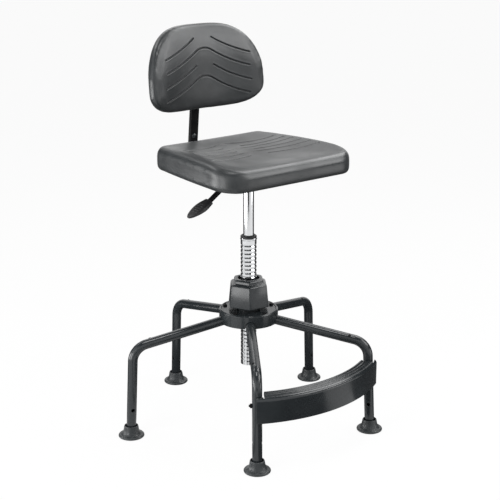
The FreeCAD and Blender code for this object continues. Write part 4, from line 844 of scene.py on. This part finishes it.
@dataclass
class SeatAndBack:
    """The two moulded pads and the hardware that carries them."""

    back_centre: Point = (0.0, 0.21149, 0.937)
    back_tilt: float = 5.5
    nodes: dict[str, Coat] = field(default_factory=lambda: {
        "seat_plate": Coat.PAINT,
        "seat_screws": Coat.STEEL,
        "seat_board": Coat.PLYWOOD,
        "lever_pin": Coat.STEEL,
        "lever_rod": Coat.STEEL,
        "lever_paddle": Coat.PLASTIC,
        "back_bar": Coat.STEEL,
        "upright": Coat.STEEL,
        "upright_bolts": Coat.PAINT,
        "upright_nuts": Coat.STEEL,
        "depth_knob": Coat.PLASTIC,
        "back_bracket": Coat.STEEL,
        "back_board": Coat.PLYWOOD,
        "back_screws": Coat.STEEL,
        "height_knob": Coat.PLASTIC,
    })

    def seat_pad(self) -> MouldedPad:
        """Return the seat's pad, whose plan is level."""
        chevrons = Chevrons(peaks=(0.105, 0.048, -0.009), arms=(0.070, 0.013, -0.044),
                            reaches=(0.126, 0.136, 0.146), arm_start=0.030, peak_r=0.090,
                            steep=18.0, flat=6.0)
        return MouldedPad("seat_pad", "seat_cushion", "seat", chevrons, Matrix.Identity(4),
                          swell=0.0010, well=0.0015, even_from=0.022, even_to=0.060,
                          crown=0.004, crown_low=-0.19, crown_high=0.172, crown_heights=(0.700, 0.742))

    def back_pad(self) -> MouldedPad:
        """Return the backrest's pad, whose plan lies in the tilted plane of the backrest."""
        chevrons = Chevrons(peaks=(0.048, -0.025), arms=(0.075, 0.003), reaches=(0.110, 0.112),
                            arm_start=0.029, peak_r=0.050, steep=32.0, flat=15.0)
        centred = Matrix.Translation(-Vector(self.back_centre))
        upright = Matrix.Rotation(math.radians(self.back_tilt), 4, "X") @ centred
        facing = Matrix(((1, 0, 0, 0), (0, 0, 1, 0), (0, -1, 0, 0), (0, 0, 0, 1)))
        return MouldedPad("back_pad", "backrest_cushion", "backrest", chevrons, facing @ upright,
                          crown=0.012, crown_peak=0.020,
                          room=Room(half_width=0.0165, rear_from=0.2085, low=0.9050, high=0.9300))

    def build(self, paints: Paintbox) -> None:
        """Model both pads and dress the hardware.

        Args:
            paints: Finishes of the chair.
        """
        self.seat_pad().build(paints)
        self.back_pad().build(paints)
        paints.dress_nodes(self.nodes)
        LOG.info("seat and back: %d nodes dressed", len(self.nodes))


@dataclass
class Underframe:
    """Five-legged base with its hub, footrest and glides; the glide's profile is in millimetres."""

    legs: int = 5
    foot_circle: float = 0.334
    first_leg: float = -36.0
    glide_lean: float = 0.0009
    glide_steps: int = 40
    glide_profile: tuple[Span, ...] = (
        (0.0, 0.0), (27.0, 0.0), (31.0, 0.2), (33.6, 1.4), (34.5, 3.6), (34.0, 6.0),
        (32.2, 7.8), (30.0, 8.4), (28.2, 7.9), (26.6, 8.3), (25.0, 9.8), (23.4, 12.4),
        (22.0, 15.2), (20.8, 19.0), (19.8, 24.0), (19.0, 28.8), (18.5, 31.0), (17.6, 32.0),
        (16.6, 31.8), (15.9, 30.6), (15.4, 28.0), (15.0, 24.0), (14.9, 12.0), (0.0, 12.0),
    )
    nodes: dict[str, Coat] = field(default_factory=lambda: {
        "hub_tube": Coat.PAINT,
        "hub_plate": Coat.PAINT,
        "hub_cover": Coat.PAINT,
        "hub_screws": Coat.STEEL,
        "guide_bush": Coat.PLASTIC,
        "collet": Coat.PLASTIC,
        "leg_rivets": Coat.STEEL,
        "footrest": Coat.PAINT,
        "footrest_bolts": Coat.STEEL,
        "footrest_nuts": Coat.STEEL,
    })

    def glide(self) -> bpy.types.Object:
        """Model one bell-shaped foot glide with its axis through the origin and return it."""
        profile = [(radius / 1000, height / 1000) for radius, height in self.glide_profile]
        glide = spin_profile("glide", profile, self.glide_steps)
        apply_modifier(glide, "SUBSURF", levels=1, render_levels=1)
        make_active(glide)
        bpy.ops.object.shade_smooth()
        return glide

    def place_glide(self, pattern: bpy.types.Object, number: int, paints: Paintbox) -> None:
        """Copy the glide under one leg.

        Args:
            pattern: Glide at the origin.
            number: Number of the leg, from 1.
            paints: Finishes of the chair.
        """
        glide = bpy.data.objects.new(f"glide_{number}", pattern.data.copy())
        bpy.context.scene.collection.objects.link(glide)
        angle = math.radians(self.first_leg + 360.0 / self.legs * (number - 1))
        outward = Vector((math.sin(angle), -math.cos(angle), 0.0))
        glide.data.transform(Matrix.Translation(outward * (self.foot_circle - self.glide_lean)))
        paints.dress(glide, Coat.GLIDE)
        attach(glide, "base")
        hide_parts(f"foot_glide_{number}")

    def build(self, paints: Paintbox) -> None:
        """Model the glides and dress the base.

        Args:
            paints: Finishes of the chair.
        """
        paints.dress_nodes(self.nodes)
        pattern = self.glide()
        for number in range(1, self.legs + 1):
            paints.dress_nodes({f"leg_{number}": Coat.PAINT})
            self.place_glide(pattern, number, paints)
        bpy.data.objects.remove(pattern)
        LOG.info("underframe: %d nodes dressed", len(self.nodes) + 2 * self.legs)


@dataclass
class LockCollar:
    """Six-sided tapered collar with a stepped crown, turned by hand.

    Steps give the width across flats and the height, and the bore's profile the radius and the height.
    """

    corner_azimuth: float = -36.0
    steps: tuple[Span, ...] = (
        (0.1035, 0.3270), (0.0925, 0.3860), (0.0840, 0.3900), (0.0750, 0.3900), (0.0750, 0.3975),
        (0.0680, 0.4015),
    )
    bore: tuple[Span, ...] = (
        (0.0, 0.3000), (0.0327, 0.3000), (0.0327, 0.3573), (0.0284, 0.3593), (0.0284, 0.4200), (0.0, 0.4200),
    )
    bore_steps: int = 72
    edge: float = 0.0030
    edge_segments: int = 4
    edge_angle: float = 28.0
    smooth_angle: float = 35.0

    def build(self, paints: Paintbox) -> None:
        """Model and dress the collar.

        Args:
            paints: Finishes of the chair.
        """
        deselect()
        flats, height = self.steps[0]
        corner = flats / math.sqrt(3.0)
        angle = math.radians(self.corner_azimuth)
        bpy.ops.mesh.primitive_circle_add(vertices=6, radius=corner, fill_type="NGON",
                                          location=(0.0, 0.0, height), rotation=(0.0, 0.0, angle))
        collar = bpy.context.object
        collar.name = "hand_collar"
        bpy.ops.object.transform_apply(location=True, rotation=True, scale=True)
        bpy.ops.object.mode_set(mode="EDIT")
        bpy.ops.mesh.select_all(action="SELECT")
        for (old_flats, old_height), (flats, height) in zip(self.steps, self.steps[1:]):
            rise = (0.0, 0.0, height - old_height)
            bpy.ops.mesh.extrude_region_move(TRANSFORM_OT_translate={"value": rise})
            grow = flats / old_flats
            bpy.ops.transform.resize(value=(grow, grow, 1.0), center_override=(0.0, 0.0, height))
        bpy.ops.mesh.select_all(action="SELECT")
        bpy.ops.mesh.normals_make_consistent(inside=False)
        bpy.ops.object.mode_set(mode="OBJECT")
        cutter = spin_profile("bore", list(self.bore), self.bore_steps)
        apply_modifier(collar, "BOOLEAN", operation="DIFFERENCE", solver="EXACT", object=cutter)
        bpy.data.objects.remove(cutter)
        apply_modifier(collar, "BEVEL", width=self.edge, segments=self.edge_segments, limit_method="ANGLE",
                       angle_limit=math.radians(self.edge_angle))
        make_active(collar)
        bpy.ops.object.shade_smooth_by_angle(angle=math.radians(self.smooth_angle))
        paints.dress(collar, Coat.PAINT)
        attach(collar, "lock")
        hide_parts("lock_collar")
        LOG.info("hand_collar: %d faces", len(collar.data.polygons))


@dataclass
class LiftUnit:
    """Ring-grooved column with the gas spring inside it."""

    nodes: dict[str, Coat] = field(default_factory=lambda: {
        "lift_column": Coat.CHROME,
        "column_top_bush": Coat.PLASTIC,
        "column_base_cap": Coat.STEEL,
        "thrust_bearing": Coat.CHROME,
        "piston_rod": Coat.CHROME,
        "piston_head": Coat.PLASTIC,
        "rod_clip": Coat.STEEL,
        "gas_cylinder": Coat.CHROME,
        "cylinder_gland": Coat.PLASTIC,
        "valve_button": Coat.STEEL,
    })

    def build(self, paints: Paintbox) -> None:
        """Dress the lift.

        Args:
            paints: Finishes of the chair.
        """
        paints.dress_nodes(self.nodes)
        LOG.info("lift unit: %d nodes dressed", len(self.nodes))


@dataclass(frozen=True)
class Lamp:
    """A soft square lamp: its place, what it looks at, its side, its power and whether gloss shows it."""

    name: str
    place: Point
    target: Point
    side: float
    watts: float
    mirrored: bool = True


@dataclass(frozen=True)
class Flag:
    """An upright card: its angle from the camera's direction, its width, and its lower and upper edge."""

    name: str
    turn: float
    width: float
    heights: Span


@dataclass
class Studio:
    """Pale floor, soft lamps, dark cards for the gloss and the camera at the photograph's angle."""

    elevation: float = 16.37
    azimuth: float = -39.69
    distance: float = 3.330
    aim_height: float = 0.4766
    lens: float = 91.08
    shift: float = 0.0028
    sensor: float = 36.0
    far_clip: float = 600.0
    floor_size: float = 400.0
    floor_sink: float = 0.0005
    floor_grey: Colour = (0.70, 0.70, 0.70, 1.0)
    floor_specular: float = 0.1
    floor_shade: float = 0.05
    matt: float = 0.9
    sky: float = 0.12
    lamps: tuple[Lamp, ...] = (
        Lamp("overhead", (-0.5, -0.5, 3.0), (0.0, 0.0, 0.6), 1.0, 22.0),
        Lamp("left_bank", (-2.5, -0.7, 1.9), (0.0, 0.0, 0.6), 1.4, 70.0, mirrored=False),
        Lamp("side_bank", (-1.75, 1.40, 0.20), (0.0, 0.0, 0.65), 1.1, 27.0),
        Lamp("right_bank", (1.9, -2.3, 2.3), (0.0, 0.0, 0.8), 2.6, 90.0),
        Lamp("right_top", (1.5, 0.1, 2.5), (0.0, 0.0, 0.7), 1.4, 34.0),
        Lamp("low_left", (-2.1, 0.0, 0.45), (0.0, 0.0, 0.36), 0.9, 13.0),
        Lamp("low_right", (1.55, -1.90, 0.40), (0.0, 0.0, 0.7), 1.0, 6.0),
        Lamp("rear_edge", (1.2, 2.3, 2.4), (0.0, 0.0, 0.7), 1.0, 6.0),
        Lamp("rear_left", (-0.9, 2.4, 2.6), (0.0, 0.0, 0.7), 1.0, 13.0),
    )
    flags: tuple[Flag, ...] = (
        Flag("left_flag", -122.0, 1.7, (-0.2, 2.2)),
        Flag("right_flag", 122.0, 1.7, (-0.2, 2.2)),
        Flag("front_flag", 79.0, 2.2, (0.55, 1.20)),
        Flag("lens_flag", 0.0, 1.2, (0.0, 0.5)),
    )
    flag_distance: float = 2.2
    flag_grey: Colour = (0.02, 0.02, 0.02, 1.0)
    ceiling_place: Point = (0.0, -1.0, 3.4)
    ceiling_sides: Span = (6.0, 5.0)
    floor_flag_behind: float = 1.75
    floor_flag_lift: float = 0.0005
    floor_flag_sides: Span = (5.0, 2.9)
    mat_radius: float = 1.3
    mat_lift: float = 0.0003
    mat_wedges: int = 144
    mat_windows: tuple[Span, ...] = ((-85.0, -25.0), (-15.0, 10.0), (58.0, 80.0))

    def camera(self) -> None:
        """Set the camera."""
        data = bpy.data.cameras.new("camera")
        data.lens = self.lens
        data.sensor_width = self.sensor
        data.shift_x = self.shift
        data.clip_end = self.far_clip
        camera = bpy.data.objects.new("camera", data)
        bpy.context.scene.collection.objects.link(camera)
        lift, turn = math.radians(self.elevation), math.radians(self.azimuth)
        level = math.cos(lift)
        back = Vector((math.sin(turn) * level, -math.cos(turn) * level, math.sin(lift)))
        camera.location = Vector((0.0, 0.0, self.aim_height)) + back * self.distance
        camera.rotation_euler = (-back).to_track_quat("-Z", "Y").to_euler()
        bpy.context.scene.camera = camera

    def hang(self, lamp: Lamp) -> None:
        """Hang one soft square lamp.

        Args:
            lamp: Lamp to hang.
        """
        data = bpy.data.lights.new(lamp.name, "AREA")
        data.size = lamp.side
        data.energy = lamp.watts
        light = bpy.data.objects.new(lamp.name, data)
        bpy.context.scene.collection.objects.link(light)
        light.visible_glossy = lamp.mirrored
        light.location = lamp.place
        aim = Vector(lamp.target) - Vector(lamp.place)
        light.rotation_euler = aim.to_track_quat("-Z", "Y").to_euler()

    def seen_directly(self, tree: bpy.types.NodeTree) -> Socket:
        """Add nodes that tell camera, mirror and glass rays from the rest.

        Args:
            tree: Node tree of a material or the world.

        Returns:
            1 for those rays and 0 for the others.
        """
        path = tree.nodes.new("ShaderNodeLightPath")
        total = path.outputs["Is Camera Ray"]
        for name in ("Is Glossy Ray", "Is Transmission Ray"):
            node = tree.nodes.new("ShaderNodeMath")
            node.operation = "MAXIMUM"
            tree.links.new(total, node.inputs[0])
            tree.links.new(path.outputs[name], node.inputs[1])
            total = node.outputs[0]
        return total

    def world(self) -> None:
        """Light the room evenly, with a white background."""
        world = bpy.data.worlds.new("studio")
        world.use_nodes = True
        tree = world.node_tree
        lit = tree.nodes["Background"]
        lit.inputs["Color"].default_value = WHITE
        lit.inputs["Strength"].default_value = self.sky
        white = tree.nodes.new("ShaderNodeBackground")
        white.inputs["Color"].default_value = WHITE
        white.inputs["Strength"].default_value = 1.0
        mix = tree.nodes.new("ShaderNodeMixShader")
        tree.links.new(self.seen_directly(tree), mix.inputs[0])
        tree.links.new(lit.outputs[0], mix.inputs[1])
        tree.links.new(white.outputs[0], mix.inputs[2])
        tree.links.new(mix.outputs[0], tree.nodes["World Output"].inputs["Surface"])
        bpy.context.scene.world = world

    def floor(self) -> None:
        """Lay a pale floor that keeps the chair's shadow."""
        deselect()
        bpy.ops.mesh.primitive_plane_add(size=self.floor_size, location=(0.0, 0.0, -self.floor_sink))
        floor = bpy.context.object
        floor.name = "floor"
        sheet = NodeSheet("pale_floor")
        tree = sheet.tree
        sheet.give("Base Color", self.floor_grey)
        sheet.give("Roughness", self.matt)
        sheet.give("Specular IOR Level", self.floor_specular)
        glow = tree.nodes.new("ShaderNodeEmission")
        glow.inputs["Strength"].default_value = 1.0
        mix = tree.nodes.new("ShaderNodeMixShader")
        share = tree.nodes.new("ShaderNodeMath")
        share.operation = "MULTIPLY"
        share.inputs[1].default_value = 1.0 - self.floor_shade
        tree.links.new(self.seen_directly(tree), share.inputs[0])
        tree.links.new(share.outputs[0], mix.inputs[0])
        tree.links.new(sheet.shader.outputs[0], mix.inputs[1])
        tree.links.new(glow.outputs[0], mix.inputs[2])
        tree.links.new(mix.outputs[0], tree.nodes["Material Output"].inputs["Surface"])
        floor.data.materials.append(sheet.material)

    def stand(self, flag: Flag) -> None:
        """Stand a dark card that only mirror reflections show, as beside a lens in a studio.

        Args:
            flag: Card to stand.
        """
        angle = math.radians(self.azimuth + flag.turn)
        low, high = flag.heights
        away = self.flag_distance
        place = (math.sin(angle) * away, -math.cos(angle) * away, (low + high) / 2)
        self.card(flag.name, place, (math.radians(90.0), 0.0, angle), (flag.width, high - low))

    def floor_flag(self) -> None:
        """Lay a dark card on the floor behind the chair, for mirror reflections alone."""
        angle = math.radians(self.azimuth)
        behind = self.floor_flag_behind
        place = (-math.sin(angle) * behind, math.cos(angle) * behind, self.floor_flag_lift)
        self.card("floor_flag", place, (0.0, 0.0, angle), self.floor_flag_sides)

    def mat(self) -> None:
        """Lay a round dark card under the chair with wedges left out, for mirror reflections alone."""
        deselect()
        bpy.ops.mesh.primitive_circle_add(vertices=self.mat_wedges, radius=self.mat_radius,
                                          fill_type="TRIFAN", location=(0.0, 0.0, self.mat_lift))
        card = bpy.context.object
        card.name = "mat"
        bpy.ops.object.transform_apply(location=True, rotation=True, scale=True)

        def in_window(face: bpy.types.MeshPolygon) -> bool:
            """Tell whether a wedge lies in a window, by its angle from the camera's direction."""
            turn = math.degrees(math.atan2(face.center.x, -face.center.y)) - self.azimuth
            turn = (turn + 180.0) % 360.0 - 180.0
            return any(low < turn < high for low, high in self.mat_windows)

        edit_faces(card, in_window)
        bpy.ops.mesh.delete(type="FACE")
        bpy.ops.object.mode_set(mode="OBJECT")
        self.hide_card(card)

    def card(self, name: str, place: Point, turn: Point, sides: Span) -> None:
        """Add a plain dark card.

        Args:
            name: Name of the card.
            place: Its middle.
            turn: Its rotation in radians.
            sides: Its width and height.
        """
        deselect()
        bpy.ops.mesh.primitive_plane_add(size=1.0, location=place, rotation=turn)
        card = bpy.context.object
        card.name = name
        card.scale = (*sides, 1.0)
        bpy.ops.object.transform_apply(location=True, rotation=True, scale=True)
        self.hide_card(card)

    def hide_card(self, card: bpy.types.Object) -> None:
        """Make a card dark and leave it to mirror rays alone.

        Args:
            card: Card of the studio.
        """
        sheet = NodeSheet(card.name)
        sheet.give("Base Color", self.flag_grey)
        sheet.give("Roughness", self.matt)
        card.data.materials.append(sheet.material)
        for ray in ("camera", "diffuse", "transmission", "volume_scatter", "shadow"):
            setattr(card, f"visible_{ray}", False)

    def build(self) -> None:
        """Set up the whole studio."""
        bpy.context.scene.view_settings.view_transform = "Standard"
        self.world()
        self.floor()
        for lamp in self.lamps:
            self.hang(lamp)
        for flag in self.flags:
            self.stand(flag)
        self.card("ceiling_flag", self.ceiling_place, (0.0, 0.0, 0.0), self.ceiling_sides)
        self.floor_flag()
        self.mat()
        self.camera()
        LOG.info("studio set")


def main() -> None:
    """Build the chair's looks and the studio."""
    logging.basicConfig(level=logging.INFO, format="%(name)s: %(message)s")
    paints = Paintbox()
    Underframe().build(paints)
    LockCollar().build(paints)
    LiftUnit().build(paints)
    SeatAndBack().build(paints)
    Studio().build()
    deselect()


if __name__ == "__main__":
    main()
